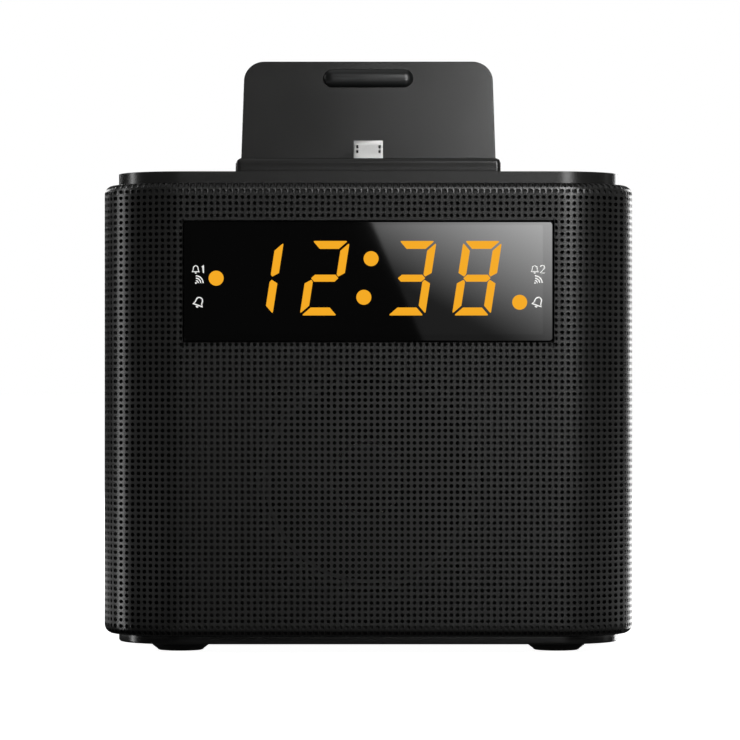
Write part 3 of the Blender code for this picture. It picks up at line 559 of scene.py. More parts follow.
front = Sheet(on_front, (0, HOLE_DEPTH, 0))
column_edges = [k * PITCH for k in range(-FRONT_COLUMNS, FRONT_COLUMNS + 1)]
for row in range(ROWS):
    z0, z1 = row_edges(row)
    z = FIRST_ROW - row * PITCH
    level = z1 > window_bottom and z0 < window_top
    for u0, u1 in zip(column_edges, column_edges[1:]):
        u = (u0 + u1) / 2
        if not level or abs(u) - PITCH / 2 > window_x:
            front.hole_cell(u0, u1, z0, z1, u, z)
        elif abs(u) + PITCH / 2 > window_x:
            side = math.copysign(1, u)
            u0, u1 = (window_x, u1) if side > 0 else (u0, -window_x)
            front.hole_cell(u0, u1, z0, z1, u, z, lambda a, b: (side * max(abs(a), window_x + WEB), b))
        elif z1 > window_top:
            front.plain_cell(u0, u1, window_top, z1)
        elif z0 < window_bottom:
            front.hole_cell(u0, u1, z0, window_bottom, u, z, lambda a, b: (a, min(b, window_bottom - WEB)))
add_ledges(front, on_front, column_edges)
reveal_z = (window_top + window_bottom) / 2
reveal = rounded(2 * window_x, window_top - window_bottom, 0.05 * MM, 1, (0, reveal_z))
REVEAL_DEPTH = 1.1 * MM
near_y, far_y = -half_depth, REVEAL_DEPTH - half_depth
for (x0, z0), (x1, z1) in zip(reveal, reveal[1:] + reveal[:1]):
    front.face([(x0, near_y, z0), (x1, near_y, z1), (x1, far_y, z1), (x0, far_y, z0)])
grille_front = front.piece("grille_front")
print(f"front: {len(grille_front.data.polygons)} faces")

# %% The grille's two sides
side_columns = round((seam_y - side_edge) / PITCH)
side_pitch = (seam_y - side_edge) / side_columns
side_edges = [side_edge + i * side_pitch for i in range(side_columns + 1)]
for side, word in ((1, "right"), (-1, "left")):

    def place(y, z, inset=None, side=side):
        return on_side(side, y, z, inset)

    sheet = Sheet(place, (-side * HOLE_DEPTH, 0, 0), flip=side < 0)
    for row in range(ROWS):
        z0, z1 = row_edges(row)
        for u0, u1 in zip(side_edges, side_edges[1:]):
            sheet.hole_cell(u0, u1, z0, z1, (u0 + u1) / 2, FIRST_ROW - row * PITCH)
    add_ledges(sheet, place, side_edges)
    add_end(sheet, place, side_edges[-1])
    piece = sheet.piece(f"grille_{word}")
    print(f"{word} side: {len(piece.data.polygons)} faces")

# %% [markdown]
# ## The rear cover
# The back closes the case with the same plan and the same rolled edges, in moulded plastic. It is a bent
# sheet given thickness, and then the sockets and the vents are cut through it, so that each hole shows the
# wall's real thickness.

# %% Rear cover
cover_low, cover_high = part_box("rear_cover")
COVER_WALL = 1.8 * MM
CORNER_STEPS = 20


def rear_line(inset):
    """The plan round the rear corners, from the right seam to the left one."""
    x, y = half_width - CORNER, half_depth - CORNER
    found = [(half_width - inset, cover_low.y)]
    found += arc(x, y, CORNER - inset, 3, 90, CORNER_STEPS)
    found += arc(-x, y, CORNER - inset, 90, 177, CORNER_STEPS)
    return found + [(inset - half_width, cover_low.y)]


def roll_profile(low, high, steps=6):
    """(inset, height) from the lower ledge, round both rolls, to the upper ledge."""
    turns = [math.pi / 2 * i / steps for i in range(steps + 1)]
    found = [(ROLL - ROLL * math.sin(angle), low + ROLL - ROLL * math.cos(angle)) for angle in turns]
    found += [(ROLL - ROLL * math.cos(angle), high - ROLL + ROLL * math.sin(angle)) for angle in turns]
    return [(LEDGE, low)] + found + [(LEDGE, high)]


def bent_sheet(name, profile, line, wall, material, replaces):
    """A sheet swept along a plan line, thickened inwards by its wall."""
    rings = [[(x, y, z) for x, y in line(inset)] for inset, z in profile]
    count = len(rings[0])
    faces = []
    for row in range(len(rings) - 1):
        for i in range(count - 1):
            low, high = row * count + i, (row + 1) * count + i
            faces.append((low, low + 1, high + 1, high))
    mesh = bpy.data.meshes.new(name)
    mesh.from_pydata([point for ring in rings for point in ring], [], faces)
    piece = new_piece(name, mesh, material, replaces=replaces)
    thick = piece.modifiers.new("wall", "SOLIDIFY")
    thick.thickness = wall
    thick.offset = -1
    thick.use_even_offset = True
    return applied(piece)


cover_profile = roll_profile(cover_low.z, cover_high.z)
cover = bent_sheet("rear_cover_fine", cover_profile, rear_line, COVER_WALL, case_plastic, ("rear_cover",))

# %% Holes in the rear cover
usb_low, usb_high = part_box("usb_socket")
usb_middle = middle_of("usb_socket")
grommet_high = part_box("antenna_grommet")[1]
grommet_middle = middle_of("antenna_grommet")
socket_z = grommet_middle.z


def through_rear(outline, x, z):
    """A cutter that runs along Y through the rear wall."""
    mesh = slab_mesh("cutter", [outline], 6 * MM)
    mesh.transform(Matrix.Translation((x, half_depth, z)) @ FACING_FRONT)
    return mesh


VENTS, VENT_PITCH, VENT_LENGTH, VENT_HEIGHT = 6, 5 * MM, 40 * MM, 2 * MM
VENT_LOW = 61 * MM
JACK_HOLE, GROMMET_HOLE, USB_PLAY = 4.2 * MM, 3.5 * MM, 0.6 * MM
rear_cutters = [
    through_rear(arc(0, 0, JACK_HOLE, 0, 345, 23), middle_of("dc_jack").x, socket_z),
    through_rear(arc(0, 0, GROMMET_HOLE, 0, 345, 23), grommet_middle.x, socket_z),
    through_rear(
        rounded(usb_high.x - usb_low.x + USB_PLAY, usb_high.z - usb_low.z + USB_PLAY, USB_PLAY, 4),
        usb_middle.x,
        usb_middle.z,
    ),
]
for i in range(VENTS):
    vent = rounded(VENT_LENGTH, VENT_HEIGHT, VENT_HEIGHT / 2 - 0.01 * MM, 6)
    rear_cutters.append(through_rear(vent, 0, VENT_LOW + i * VENT_PITCH))
carve(cover, rear_cutters)
smooth(cover.data, 30)
print(f"rear cover: {len(cover.data.polygons)} faces, {VENTS} vents, 3 sockets")

# %% [markdown]
# ## Top panel and buttons
# The top panel drops inside the rolled edge. Its buttons lie almost flush in close-fitting openings, each a
# separate moulding that can be pressed. Their marks are the plain kind that any clock radio has: bells,
# numerals, arrows, plus and minus. They are printed, so they are thin pieces of ink that ride with the
# button and not grooves in it.

# %% Top panel
panel_low, panel_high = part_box("top_panel")
panel_width, panel_depth = panel_high.x - panel_low.x, panel_high.y - panel_low.y
PANEL_CORNER = CORNER - (half_width - panel_high.x)
PANEL_BOTTOM = 103 * MM
BUTTON_GAP = 0.3 * MM
BUTTONS = [n for n in nodes if n.endswith("_button") or n == "snooze_bar"]
FLANGE = 1.0 * MM  # the hidden rim that keeps a button in its opening
SHELF_OPENING = (50 * MM, 20 * MM)  # under the dock's shelf, which covers it, for the plug's carrier


def button_size(node):
    """Middle, width and depth of the part of a button that shows."""
    low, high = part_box(node)
    return middle_of(node), high.x - low.x - 2 * FLANGE, high.y - low.y - 2 * FLANGE


outline = rounded(panel_width, panel_depth, PANEL_CORNER, CORNER_STEPS)
openings = []
for node in BUTTONS:
    middle, width, depth = button_size(node)
    width, depth = width + 2 * BUTTON_GAP, depth + 2 * BUTTON_GAP
    openings.append(rounded(width, depth, depth / 2 - 0.05 * MM, 8, (middle.x, middle.y)))
openings.append(rounded(*SHELF_OPENING, 0.5 * MM, 2, (0, 1 * MM)))
panel_thick = panel_high.z - PANEL_BOTTOM
place, stands_for = (0, 0, PANEL_BOTTOM + panel_thick / 2), ("top_panel",)
outlines = [outline] + openings
slab("top_panel_fine", outlines, panel_thick, case_plastic, place, edge=0.25 * MM, replaces=stands_for)
print(f"top panel: {len(BUTTONS)} button openings")

# %% Button caps
for node in BUTTONS:
    middle, width, depth = button_size(node)
    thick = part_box(node)[1].z - PANEL_BOTTOM
    cap = rounded(width, depth, depth / 2 - 0.05 * MM, 10)
    place = (middle.x, middle.y, PANEL_BOTTOM + thick / 2)
    slab(node + "_cap", [cap], thick, button_plastic, place, FLAT, 0.35 * MM, 4, node, (node,))
print(f"{len(BUTTONS)} button caps")

# %% Marks on the buttons
INK = 0.03 * MM
STROKE = 0.35 * MM


def ring_around(points, width):
    """Both edges of a line drawn along a closed outline: the outer one and the hole inside."""
    count = len(points)
    outer, inner = [], []
    for i, point in enumerate(points):
        along = (Vector(points[(i + 1) % count]) - Vector(points[i - 1])).normalized()
        across = Vector((along.y, -along.x)) * width / 2
        outer.append(tuple(Vector(point) + across))
        inner.append(tuple(Vector(point) - across))
    return [outer, inner]


def bell(size):
    """A bell seen from the side, drawn as a line, with its clapper showing below."""
    body = [(-0.5, -0.34), (-0.34, -0.14), (-0.31, 0.12)] + arc(0, 0.12, 0.31, 165, 15, 8)
    body += [(0.31, 0.12), (0.34, -0.14), (0.5, -0.34)]
    body = [(x * size, z * size) for x, z in body[::-1]]
    clapper = arc(0, -0.44 * size, 0.15 * size, 180, 360, 6)
    return ring_around(body, size * 0.12) + [clapper]


def plus(size, upright=True):
    """A plus, made of a bar and two short uprights that don't overlap it, or just the bar: a minus."""
    bars = [rounded(size, STROKE, 0.02 * MM, 1)]
    if upright:
        for way in (1, -1):
            middle = (0, way * (size + STROKE) / 4)
            bars.append(rounded(STROKE, (size - STROKE) / 2 - 0.01 * MM, 0.02 * MM, 1, middle))
    return bars


def arrow(size, way):
    """A triangle that points left or right."""
    foot = -way * size * 0.35
    return [[(way * size * 0.5, 0), (foot, size * 0.5), (foot, -size * 0.5)]]


def waves(size):
    """Three arcs and a dot: radio."""
    found = [arc(-size * 0.4, -size * 0.4, size * 0.1, 0, 330, 11)]
    for i in range(1, 4):
        found.append(line_around(arc(-size * 0.4, -size * 0.4, size * 0.28 * i, 0, 90, 8), STROKE * 0.8))
    return found


def clock_face(size):
    """A ring with two hands."""
    ring = arc(0, 0, size / 2, 0, 350, 35)
    inside = arc(0, 0, size / 2 - STROKE, 0, 350, 35)
    hands = line_around([(0, size * 0.28), (0, 0), (size * 0.2, -size * 0.1)], STROKE * 0.9)
    return [ring, inside, hands]


def numeral(number, height):
    """A plain 1 or 2, drawn as a line."""
    wide = height * 0.5
    if number == 1:
        points = [(-wide * 0.45, height * 0.28), (0, height * 0.5), (0, -height * 0.5)]
    else:
        points = arc(0, height * 0.22, wide * 0.55, 170, -35, 8)
        points += [(-wide * 0.55, -height * 0.5), (wide * 0.6, -height * 0.5)]
    return [line_around(points, height * 0.15)]


def shifted(outlines, x, y):
    return [[(a + x, b + y) for a, b in outline] for outline in outlines]


def alarm_mark(number):
    """A bell and its number."""
    return shifted(bell(2.8 * MM), -1.6 * MM, 0) + shifted(numeral(number, 2.6 * MM), 1.8 * MM, 0)


MARKS = {
    "snooze_bar": bell(3.4 * MM),
    "alarm_1_button": alarm_mark(1),
    "alarm_2_button": alarm_mark(2),
    "tune_down_button": arrow(2.4 * MM, -1),
    "tune_up_button": arrow(2.4 * MM, 1),
    "volume_down_button": plus(2.8 * MM, False),
    "volume_up_button": plus(2.8 * MM),
    "set_time_button": clock_face(3.4 * MM),
    "radio_button": waves(3.2 * MM),
}
for node, outlines in MARKS.items():
    middle = middle_of(node)
    place = (middle.x, middle.y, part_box(node)[1].z)
    slab(node + "_mark", outlines, INK, button_ink, place, body=node)
print(f"{len(MARKS)} marks")

# %% [markdown]
# ## Base, feet and screws
# The underside is seldom seen but it is part of the radio: a plate with a battery door, four rubber feet
# and four screws. Feet are turned shapes with a soft edge, and each screw head carries a real cross recess.

# %% Base plate and battery door
fine_copy("base_plate", case_plastic, 0.12 * MM)
fine_copy("battery_door", case_plastic, 0.15 * MM)
print("base plate and its door")

# %% Feet
FOOT_EDGE = (  # how far inside the foot's radius, and how high, in millimetres
    (0.1, 1.8), (0, 1.7), (0, 1.25), (0.15, 1.1), (1.2, 0.3), (1.35, 0.1), (1.6, 0), (2.4, 0), (2.7, 0.25)
)
for node in [n for n in nodes if n.startswith("foot_")]:
    low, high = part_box(node)
    radius = (high.x - low.x) / 2
    profile = [(0, 3.4 * MM), (3.0 * MM, 3.4 * MM), (3.0 * MM, 1.8 * MM)]
    profile += [(radius - inset * MM, height * MM) for inset, height in FOOT_EDGE] + [(0, 0.25 * MM)]
    middle = middle_of(node)
    turned(node + "_fine", profile, foot_rubber, (middle.x, middle.y, low.z), replaces=(node,))

# %% Screws
for node in [n for n in nodes if n.startswith("base_screw")]:
    low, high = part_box(node)
    middle = middle_of(node)
    head = (high.x - low.x) / 2
    profile = [(0, high.z - low.z), (0.7 * MM, high.z - low.z)]
    profile += [(1.4 * MM, 12 * MM), (1.4 * MM, 1.6 * MM), (head, 1.6 * MM)]
    profile += [(head - 0.5 * MM + a, 0.5 * MM + b) for a, b in arc(0, 0, 0.5 * MM, 0, -80, 5)] + [(0, 0.0)]
    place = Vector((middle.x, middle.y, low.z))
    screw = turned(node + "_fine", profile, dull_steel, place, steps=32, replaces=(node,))
    cross = []
    for x, y in ((1.35 * MM, 0.3 * MM), (0.3 * MM, 1.35 * MM)):
        cross.append(block_mesh("cutter", place - Vector((x, y, 1 * MM)), place + Vector((x, y, 1 * MM))))
    carve(screw, cross)
    smooth(screw.data)
print("four feet and four cross-head screws")

# %% [markdown]
# ## The dock
# The shelf and the brace behind the rest already have the right shape, so they are fine copies with their
# edges rounded; the rest is drawn again as a leaning slab with rounded edges. The plug is small but bright,
# and the eye goes to it: its shell is a bent steel tube with a pair of little latch openings at each side.

# %% Shelf, rest, brace and pad
fine_copy("dock_platform", case_plastic, 0.2 * MM, 3)
fine_copy("backrest_brace", case_plastic, 0.5 * MM, 3)

rest_low, rest_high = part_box("backrest")
shelf_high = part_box("dock_platform")[1]
LEAN = math.radians(15)
REST_FOOT_Y = 3.6 * MM  # the rest's front face at the shelf
REST_THICK = 3.4 * MM
REST_CORNER = 4.8 * MM
REST_WIDTH_HIGH = 58.4 * MM
leaning = Matrix.Rotation(math.pi / 2 - LEAN, 4, "X")


def up_the_rest(distance, out):
    """A point on the middle line of the rest's front face, and out in front of it."""
    y = REST_FOOT_Y + distance * math.sin(LEAN) - out * math.cos(LEAN)
    return Vector((0, y, shelf_high.z + distance * math.cos(LEAN) + out * math.sin(LEAN)))


rest_length = (rest_high.z - shelf_high.z) / math.cos(LEAN)
foot = (rest_low.z - shelf_high.z) / math.cos(LEAN)
half_low, half_high = (rest_high.x - rest_low.x) / 2, REST_WIDTH_HIGH / 2
rest_line = [(-half_low, foot), (half_low, foot)]
rest_line += arc(half_high - REST_CORNER, rest_length - REST_CORNER, REST_CORNER, 0, 90, 16)
rest_line += arc(REST_CORNER - half_high, rest_length - REST_CORNER, REST_CORNER, 90, 180, 16)
pad_up = (middle_of("backrest_pad").z - shelf_high.z) / math.cos(LEAN)
PAD_WIDTH, PAD_HEIGHT, PAD_CROWN = 21.1 * MM, 4.4 * MM, 1.5 * MM
place, stands_for = up_the_rest(0, -REST_THICK / 2), ("backrest",)
slab("backrest_fine", [rest_line], REST_THICK, case_plastic, place, leaning, 0.35 * MM, replaces=stands_for)

# %% Pad: a round-ended bar with a strongly crowned section
def crowned_bar(name, width, height, crown, material, place, turn, replaces):
    """Rings of a round-ended outline that shrink as they rise, like half of a capsule."""
    shape = bmesh.new()
    rings = []
    for i in range(11):
        angle = math.pi / 2 * i / 11
        inset, rise = height / 2 * (1 - math.cos(angle)), crown * math.sin(angle)
        line = rounded(width - 2 * inset, height - 2 * inset, height / 2 - inset - 0.005 * MM, 12)
        rings.append([shape.verts.new((x, y, rise)) for x, y in line])
    for low, high in zip(rings, rings[1:]):
        for j in range(len(low)):
            shape.faces.new((low[j - 1], low[j], high[j], high[j - 1]))
    shape.faces.new(rings[-1])
    shape.faces.new(rings[0][::-1])
    mesh = made_mesh(name, shape)
    mesh.transform(Matrix.Translation(place) @ turn)
    smooth(mesh, 60)
    return new_piece(name, mesh, material, replaces=replaces)


size, place = (PAD_WIDTH, PAD_HEIGHT, PAD_CROWN), up_the_rest(pad_up, 0.02 * MM)
crowned_bar("backrest_pad_fine", *size, pad_rubber, place, leaning, ("backrest_pad",))
print(f"the rest leans {math.degrees(LEAN):.0f} degrees")

# %% Plug
hinge = next(joint for joint in frame["joints"] if joint["name"] == "plug_rock")
pivot = Vector(hinge["pos_m"])
PLUG_WIDTH, PLUG_THICK, PLUG_FOOT, PLUG_TIP = 6.85 * MM, 1.85 * MM, 3.5 * MM, 10.55 * MM
PLUG_METAL = 0.3 * MM
LATCH_X, LATCH_HALF_WIDTH, LATCH_HALF_HEIGHT = 2.6 * MM, 0.28 * MM, 0.36 * MM
on_plug = Matrix.Translation(pivot) @ Matrix.Rotation(-LEAN, 4, "X")


def plug_line(width, thick):
    """The connector's shell end on: its wide side in front, its rear corners rounded off."""
    half, cut, small = width / 2, thick * 0.42, 0.15 * MM
    wide_side = arc(-half + small, -thick / 2 + small, small, 180, 270, 3)
    wide_side += arc(half - small, -thick / 2 + small, small, 270, 360, 3)
    rear = arc(half - cut, thick / 2 - cut, cut, 0, 90, 5)
    return wide_side + rear + arc(-half + cut, thick / 2 - cut, cut, 90, 180, 5)


tube = [plug_line(PLUG_WIDTH - 2 * wall, PLUG_THICK - 2 * wall) for wall in (0, PLUG_METAL)]
long, place, stands_for = PLUG_TIP - PLUG_FOOT, (0, 0, (PLUG_TIP + PLUG_FOOT) / 2), ("plug_shell",)
steel = slab("plug_shell_fine", tube, long, bright_steel, place, body="plug", replaces=stands_for)
latches = []
for side in (-1, 1):
    for height in (PLUG_TIP - 1.5 * MM, PLUG_TIP - 2.65 * MM):
        middle_x = side * LATCH_X
        low = (middle_x - LATCH_HALF_WIDTH, -1.5 * MM, height - LATCH_HALF_HEIGHT)
        high = (middle_x + LATCH_HALF_WIDTH, -0.4 * MM, height + LATCH_HALF_HEIGHT)
        latches.append(block_mesh("cutter", low, high))
carve(steel, latches)
steel.data.transform(on_plug)
smooth(steel.data)
print(f"plug turns about z {pivot.z / MM:.1f} mm")

# %% [markdown]
# ## Window and clock display
# The lens is a slab of acrylic with softly rounded edges, a hair below the grille's face. A polished film
# on it, a little smaller, gives the second, inner edge that such a window shows when the light slants over
# it. The lit segments lie in the film: thin amber shapes with mitred, slightly rounded ends, drawn in front
# of the light guide's pillars.

# %% Lens and film
LENS_RECESS = 0.25 * MM
FILM = 0.03 * MM
lens_width, lens_height = window_high.x - window_low.x, window_high.z - window_low.z
lens_front = window_low.y + LENS_RECESS
lens_thick = window_high.y - lens_front
lens_line = rounded(lens_width, lens_height, 0.8 * MM, 6)
place, edge, stands_for = (0, lens_front + lens_thick / 2, window_z), 0.15 * MM, ("display_window",)
slab("window_lens", [lens_line], lens_thick, smoked_acrylic, place, FACING_FRONT, edge, replaces=stands_for)
FILM_LEFT, FILM_RIGHT, FILM_BOTTOM, FILM_TOP = 1.6 * MM, 2.2 * MM, 1.5 * MM, 0.7 * MM
film_width, film_height = lens_width - FILM_LEFT - FILM_RIGHT, lens_height - FILM_BOTTOM - FILM_TOP
film_x, film_z = (FILM_LEFT - FILM_RIGHT) / 2, window_z + (FILM_BOTTOM - FILM_TOP) / 2
film_place = (film_x, lens_front - FILM / 2 + 0.005 * MM, film_z)
film_line = rounded(film_width, film_height, 0.4 * MM, 4)
slab("display_film", [film_line], FILM, display_film, film_place, FACING_FRONT)
print(f"lens {lens_width / MM:.1f} x {lens_height / MM:.1f} mm")

# %% Segments of a digit
display_z = middle_of("display_reflector").z
DIGIT_HEIGHT, DIGIT_WIDTH, SEGMENT, SEGMENT_GAP = 16.4 * MM, 8.5 * MM, 1.75 * MM, 0.2 * MM
SLANT = math.tan(math.radians(8.8))
DIGIT_XS = (-24.1 * MM, -9.6 * MM, 9.5 * MM, 23.9 * MM)
SOFTENING, SOFT_STEPS = 0.2 * MM, 3


def softened(outline):
    """An outline with each corner rounded by an arc that touches both of its edges."""
    found = []
    for i, corner in enumerate(outline):
        here = Vector(corner)
        back, ahead = Vector(outline[i - 1]) - here, Vector(outline[(i + 1) % len(outline)]) - here
        half = back.angle(ahead) / 2
        reach = min(SOFTENING / math.tan(half), 0.45 * back.length, 0.45 * ahead.length)
        start, end = here + back.normalized() * reach, here + ahead.normalized() * reach
        for step in range(SOFT_STEPS + 1):
            t = step / SOFT_STEPS
            found.append(tuple(start * (1 - t) ** 2 + here * 2 * t * (1 - t) + end * t * t))
    return found


def digit_segments():
    """The seven segments by letter, about the digit's middle, mitred at its corners and slanted."""
    half_w, half_h, wide = DIGIT_WIDTH / 2, DIGIT_HEIGHT / 2, SEGMENT
    corner = 2 * SEGMENT_GAP
    cap = [
        (half_w - corner, half_h),
        (corner - half_w, half_h),
        (corner - half_w + wide, half_h - wide),
        (half_w - corner - wide, half_h - wide),
    ]
    upright = [
        (half_w, half_h - corner),
        (half_w - wide, half_h - corner - wide),
        (half_w - wide, wide / 2),
        (half_w - wide * 0.8, SEGMENT_GAP * 1.6),
        (half_w, wide * 0.65),
    ]
    tip, thick = half_w - wide * 0.7, wide * 0.44
    bar = []
    for side in (1, -1):
        bar += [(side * tip, 0), (side * (tip - thick), side * thick), (side * (thick - tip), side * thick)]
    found = {"g": bar}
    for letter, way in (("a", 1), ("d", -1)):
        found[letter] = [(x, way * z) for x, z in cap]
    for letter, side, way in (("b", 1, 1), ("f", -1, 1), ("c", 1, -1), ("e", -1, -1)):
        found[letter] = [(side * x, way * z) for x, z in upright]
    return {letter: softened([(x + z * SLANT, z) for x, z in line]) for letter, line in found.items()}


SHOWN = ("bc", "abged", "abgcd", "abcdefg")  # 12:38
DOT = 1.65 * MM
LIT_DOTS = ((0.6 * MM, 4.3 * MM), (-1.0 * MM, -4.2 * MM), (-33.5 * MM, 0.0), (33.3 * MM, -5.3 * MM))
lit = []
for middle, letters in zip(DIGIT_XS, SHOWN):
    lit += [[(x + middle, z) for x, z in digit_segments()[letter]] for letter in letters]
for x, z in LIT_DOTS:
    lit.append(arc(x, z, DOT, 0, 354, 59))
TILE = 0.03 * MM
segment_y = lens_front - FILM - TILE / 2 + 0.01 * MM
slab("lit_segments", lit, TILE, amber_light, (0, segment_y, display_z), FACING_FRONT)
print(f"{len(lit)} lit shapes")

# %% Marks beside the dots
MARK_X = 37.3 * MM
mark_y = lens_front - FILM - 0.01 * MM


def tilted(outlines, degrees):
    """Outlines turned about the origin."""
    turn = Matrix.Rotation(math.radians(degrees), 2)
    return [[tuple(turn @ Vector(point)) for point in outline] for outline in outlines]


for side, number in ((-1, 1), (1, 2)):
    x = side * MARK_X
    marks = shifted(numeral(number, 1.7 * MM), x + 1.0 * MM, 2.0 * MM)
    marks += shifted(bell(1.7 * MM), x - 0.7 * MM, 2.0 * MM)
    marks += shifted(waves(1.9 * MM), x + 0.1 * MM, -0.3 * MM)
    marks += shifted(tilted(bell(2.3 * MM), -20), x, -5.2 * MM)
    # The marks carry the ink's painted glow.
    slab(f"window_marks_{number}", marks, 0.02 * MM, pale_ink_with_painted_glow, (0, mark_y, display_z), FACING_FRONT)
print("marks on both sides of the window")

# %% [markdown]
# ## Sockets at the back
# The power inlet keeps its pin, the charging socket gets its four gold contacts, and the aerial wire's
# grommet is soft rubber.

# %% Sockets
fine_copy("dc_jack", inner_plastic_and_hole_shade, 0.1 * MM)
fine_copy("usb_socket", bright_steel, 0.1 * MM)
tongue_low = usb_low.z + 3.8 * MM
CONTACT_FRONT, CONTACT_BACK, CONTACT_HALF = 37 * MM, 45.6 * MM, 0.5 * MM
for i in range(4):
    x = (i - 1.5) * 2.5 * MM
    low = (x - CONTACT_HALF, CONTACT_FRONT, tongue_low - 0.1 * MM)
    contact = block_mesh("contact", low, (x + CONTACT_HALF, CONTACT_BACK, tongue_low + 0.05 * MM))
    round_edges(new_piece(f"usb_contact_{i + 1}", contact, gold_plate), 0.03 * MM, 1)
GROMMET = [(0.9, 1.9), (3.0, 1.9), (3.2, 1.7), (3.2, -0.2)]  # radius and height in millimetres
GROMMET += [(4.0, -0.2), (4.2, -0.4), (4.2, -1.2), (0.9, -1.2), (0.9, 1.9)]
turned(
    "antenna_grommet_fine",
    [(radius * MM, height * MM) for radius, height in GROMMET],
    foot_rubber,
    (grommet_middle.x, grommet_high.y - GROMMET[0][1] * MM, socket_z),
    ("antenna_grommet",),
    Matrix.Rotation(-math.pi / 2, 4, "X"),
)
print("three sockets at the back")

# %% [markdown]
# ## What is inside
# The speaker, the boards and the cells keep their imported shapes, since only slivers of them show, through
# the vents and with the battery door open. They still get their proper finishes.

# %% Inner finishes
INNER = {
    inner_plastic_and_hole_shade: ("front_cabinet", "display_reflector", "plug_carrier", "plug_tongue", "speaker_basket")
    + tuple(f"speaker_screw_{i + 1}" for i in range(4)),
    dark_diffuser: ("segment_light_guide",),
    board_mask: ("display_board", "key_board", "main_board"),
    dull_steel: ("speaker_pole_plate", "speaker_yoke", "plug_pin", "plug_spring"),
    dark_ferrite: ("speaker_magnet",),
    pressed_paper: ("speaker_cone", "speaker_dust_cap", "speaker_spider"),
    cell_sleeve: ("backup_cell_front", "backup_cell_rear"),
    gold_plate: ("battery_contact_left", "battery_contact_right"),
}
for material, names in INNER.items():
    for node in names:
        nodes[node].data.materials.clear()
        nodes[node].data.materials.append(material)
print(f"{sum(len(names) for names in INNER.values())} packed solids finished")

# %% Speaker surround
speaker_z = middle_of("speaker_cone").z
flange_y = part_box("speaker_basket")[0].y
ROLL_MIDDLE, LIP = 23.9 * MM, -0.85 * MM  # the half roll, and the lip in front of the cone's edge
surround = [(22.1 * MM, LIP)]
surround += [(ROLL_MIDDLE + x, LIP + z) for x, z in arc(0, 0, 0.95 * MM, 180, 0, 10)]
surround += [(24.85 * MM, -1.5 * MM), (25.9 * MM, -1.5 * MM), (25.9 * MM, -1.7 * MM), (24.7 * MM, -1.7 * MM)]
surround += [(ROLL_MIDDLE + x, LIP - 0.15 * MM + z) for x, z in arc(0, 0, 0.75 * MM, 0, 180, 10)]
surround += [(22.1 * MM, LIP - 0.15 * MM), (22.1 * MM, LIP)]
turned(
    "speaker_surround_fine",
    surround,
    foot_rubber,
    (0, flange_y, speaker_z),
    ("speaker_surround",),
    FACING_FRONT,
    steps=64,
)
print("surround: a half roll of rubber")

# %% [markdown]
# ## Light and ground
# Black shapes are drawn by what they reflect. Two softboxes close by at the right grade the front and the
# phone's rest from dark to grey, a strip each side draws a bright line down the rounded corners, and a panel
# with a slanted edge, far behind the camera, lays the clean diagonal reflection on the window. The ground is
# plain and pale. It could be left to light the radio by itself, but then the grille would turn grey from
# below, so the table's glow is laid only where it helps the sides.

# %% Soft lights
def soft_light(name, place, size, radiance, target=(0, 0, 0.06)):
    """A rectangular light of even brightness; its power follows from its size."""
    data = bpy.data.lights.new(name, "AREA")
    data.shape = "RECTANGLE"
    data.size, data.size_y = size
    data.energy = radiance * math.pi * size[0] * size[1]
    light = put(name, data)
    light.location = place
    light.visible_camera = False
    direction = Vector(target) - light.location
    light.rotation_euler = direction.to_track_quat("-Z", "Y").to_euler()


def around(azimuth, distance, height):
    """A place at an angle to the right of straight ahead, seen from above."""
    angle = math.radians(azimuth)
    return (distance * math.sin(angle), -distance * math.cos(angle), height)


LIGHTS = {
    "front_softbox": (around(25, 0.4, 0.21), (0.1, 0.17), 14.5),
    "high_softbox": (around(21, 0.42, 0.43), (0.13, 0.14), 20.0),
    "low_softbox": (around(12, 0.9, 0.0), (0.3, 0.12), 1.0),
    "left_strip": (around(-98, 1.0, 0.15), (0.14, 0.9), 6.7),
    "right_strip": (around(105, 1.0, 0.15), (0.2, 0.9), 0.25),
    "rim_strip": (around(150, 1.0, 0.2), (0.35, 0.9), 4.6),
    "back_softbox": (around(-155, 1.2, 0.5), (0.6, 0.6), 4.0),
    "overhead": ((0, 0.1, 1.6), (1.4, 1.4), 0.4),
}
for name, (place, size, radiance) in LIGHTS.items():
    soft_light(name, place, size, radiance)

# Pale table tops beside and behind the radio show in its upright sides when one looks down on them.
TABLE_GLOW = {
    "table_left": ((-0.3, -0.3, 0.001), (0.4, 0.4)),
    "table_right": ((0.32, 0.0, 0.001), (0.45, 0.5)),
    "table_far_left": ((-0.32, 0.15, 0.001), (0.45, 0.4)),
    "table_back": ((0.0, 0.34, 0.001), (0.5, 0.4)),
}
for name, ((x, y, z), size) in TABLE_GLOW.items():
    soft_light(name, (x, y, z), size, 0.6, (x, y, 1))
print(f"{len(LIGHTS) + len(TABLE_GLOW)} soft lights")

# %% Slanted panel for the window's reflection
CARD_Y = -(half_depth + 2 * CAMERA_DISTANCE)
card_points = [(40 * MM, 82 * MM), (190 * MM, 82 * MM), (190 * MM, 200 * MM), (-11 * MM, 200 * MM)]
card_mesh = bpy.data.meshes.new("reflection_card")
card_mesh.from_pydata([(x, CARD_Y, z) for x, z in card_points], [], [(0, 1, 2, 3)])
card = put("reflection_card", card_mesh)
card_glow = bpy.data.materials.new("card_glow")
card_glow.use_nodes = True
tree = card_glow.node_tree
tree.nodes.remove(tree.nodes["Principled BSDF"])
add, link = node_tools(tree)
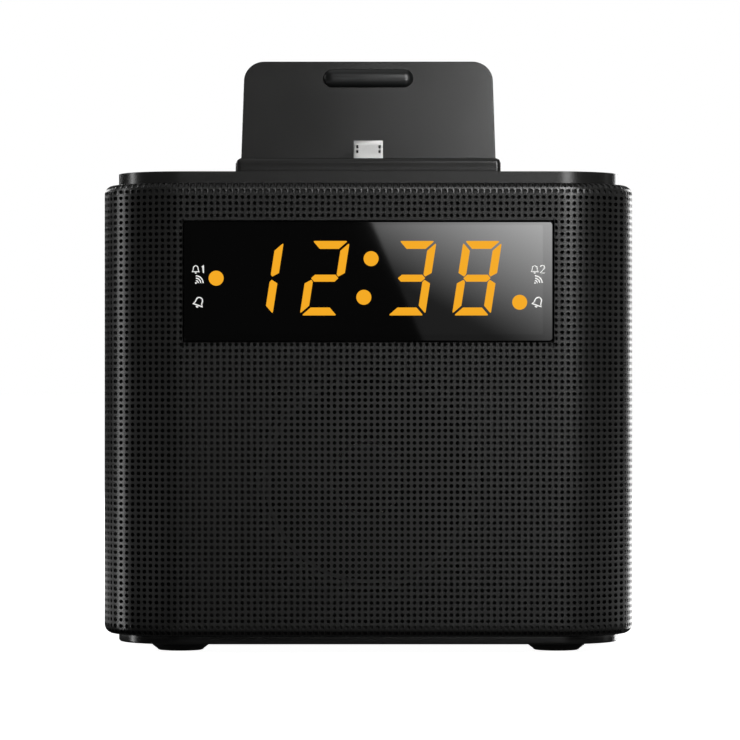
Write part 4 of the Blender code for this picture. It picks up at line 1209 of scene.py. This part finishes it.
# The glow rises up the card and to the right, along a slanted line, faster than evenly.
GLOW_SLANT, GLOW_START, GLOW_END = 0.555, 139.4 * MM, 249.4 * MM
GLOW_BEND, GLOW_GAIN, GLOW_LEAST = 1.35, 10.8, 0.26
coordinates = add("ShaderNodeTexCoord")
slanted = add("ShaderNodeVectorMath", operation="DOT_PRODUCT")
slanted.inputs[1].default_value = (GLOW_SLANT, 0, 1)
rise = add("ShaderNodeMapRange", From_Min=GLOW_START, From_Max=GLOW_END)
bend = add("ShaderNodeMath", operation="POWER")
bend.inputs[1].default_value = GLOW_BEND
level = add("ShaderNodeMath", operation="MULTIPLY_ADD")
level.inputs[1].default_value = GLOW_GAIN
level.inputs[2].default_value = GLOW_LEAST
glow = add("ShaderNodeEmission")
link(coordinates, "Object", slanted, 0)
link(slanted, "Value", rise, "Value")
link(rise, "Result", bend, 0)
link(bend, "Value", level, 0)
link(level, "Value", glow, "Strength")
link(glow, "Emission", tree.nodes["Material Output"], "Surface")
card_mesh.materials.append(card_glow)
card.visible_camera = False
card.visible_shadow = False

# %% Ground and surroundings
GROUND_RADIUS = 40.0
shape = bmesh.new()
bmesh.ops.create_circle(shape, cap_ends=True, segments=96, radius=GROUND_RADIUS)
floor_mesh = made_mesh("floor", shape)
floor = put("floor", floor_mesh)
ground = bpy.data.materials.new("pale_ground")
ground.use_nodes = True
set_sockets(ground, Base_Color=(0.8, 0.8, 0.8, 1), Roughness=0.9)
set_sockets(ground, Emission_Color=WHITE, Emission_Strength=0.98)
floor_mesh.materials.append(ground)
floor.visible_glossy = False
floor.visible_diffuse = False

world = bpy.data.worlds.new("studio")
bpy.context.scene.world = world
world.use_nodes = True
sky = world.node_tree
add, link = node_tools(sky)
back = sky.nodes["Background"]
back.inputs["Color"].default_value = WHITE
back.inputs["Strength"].default_value = 0.03
seen = add("ShaderNodeBackground", Color=WHITE, Strength=1.0)
ray = add("ShaderNodeLightPath")
blend = add("ShaderNodeMixShader")
link(ray, "Is Camera Ray", blend, "Fac")
link(back, "Background", blend, 1)
link(seen, "Background", blend, 2)
link(blend, "Shader", sky.nodes["World Output"], "Surface")
bpy.context.scene.view_settings.view_transform = "Standard"
print("pale ground, and a dim room that the camera sees as white")

# %% [markdown]
# ## Finish

# %% Finish
bpy.context.view_layer.update()
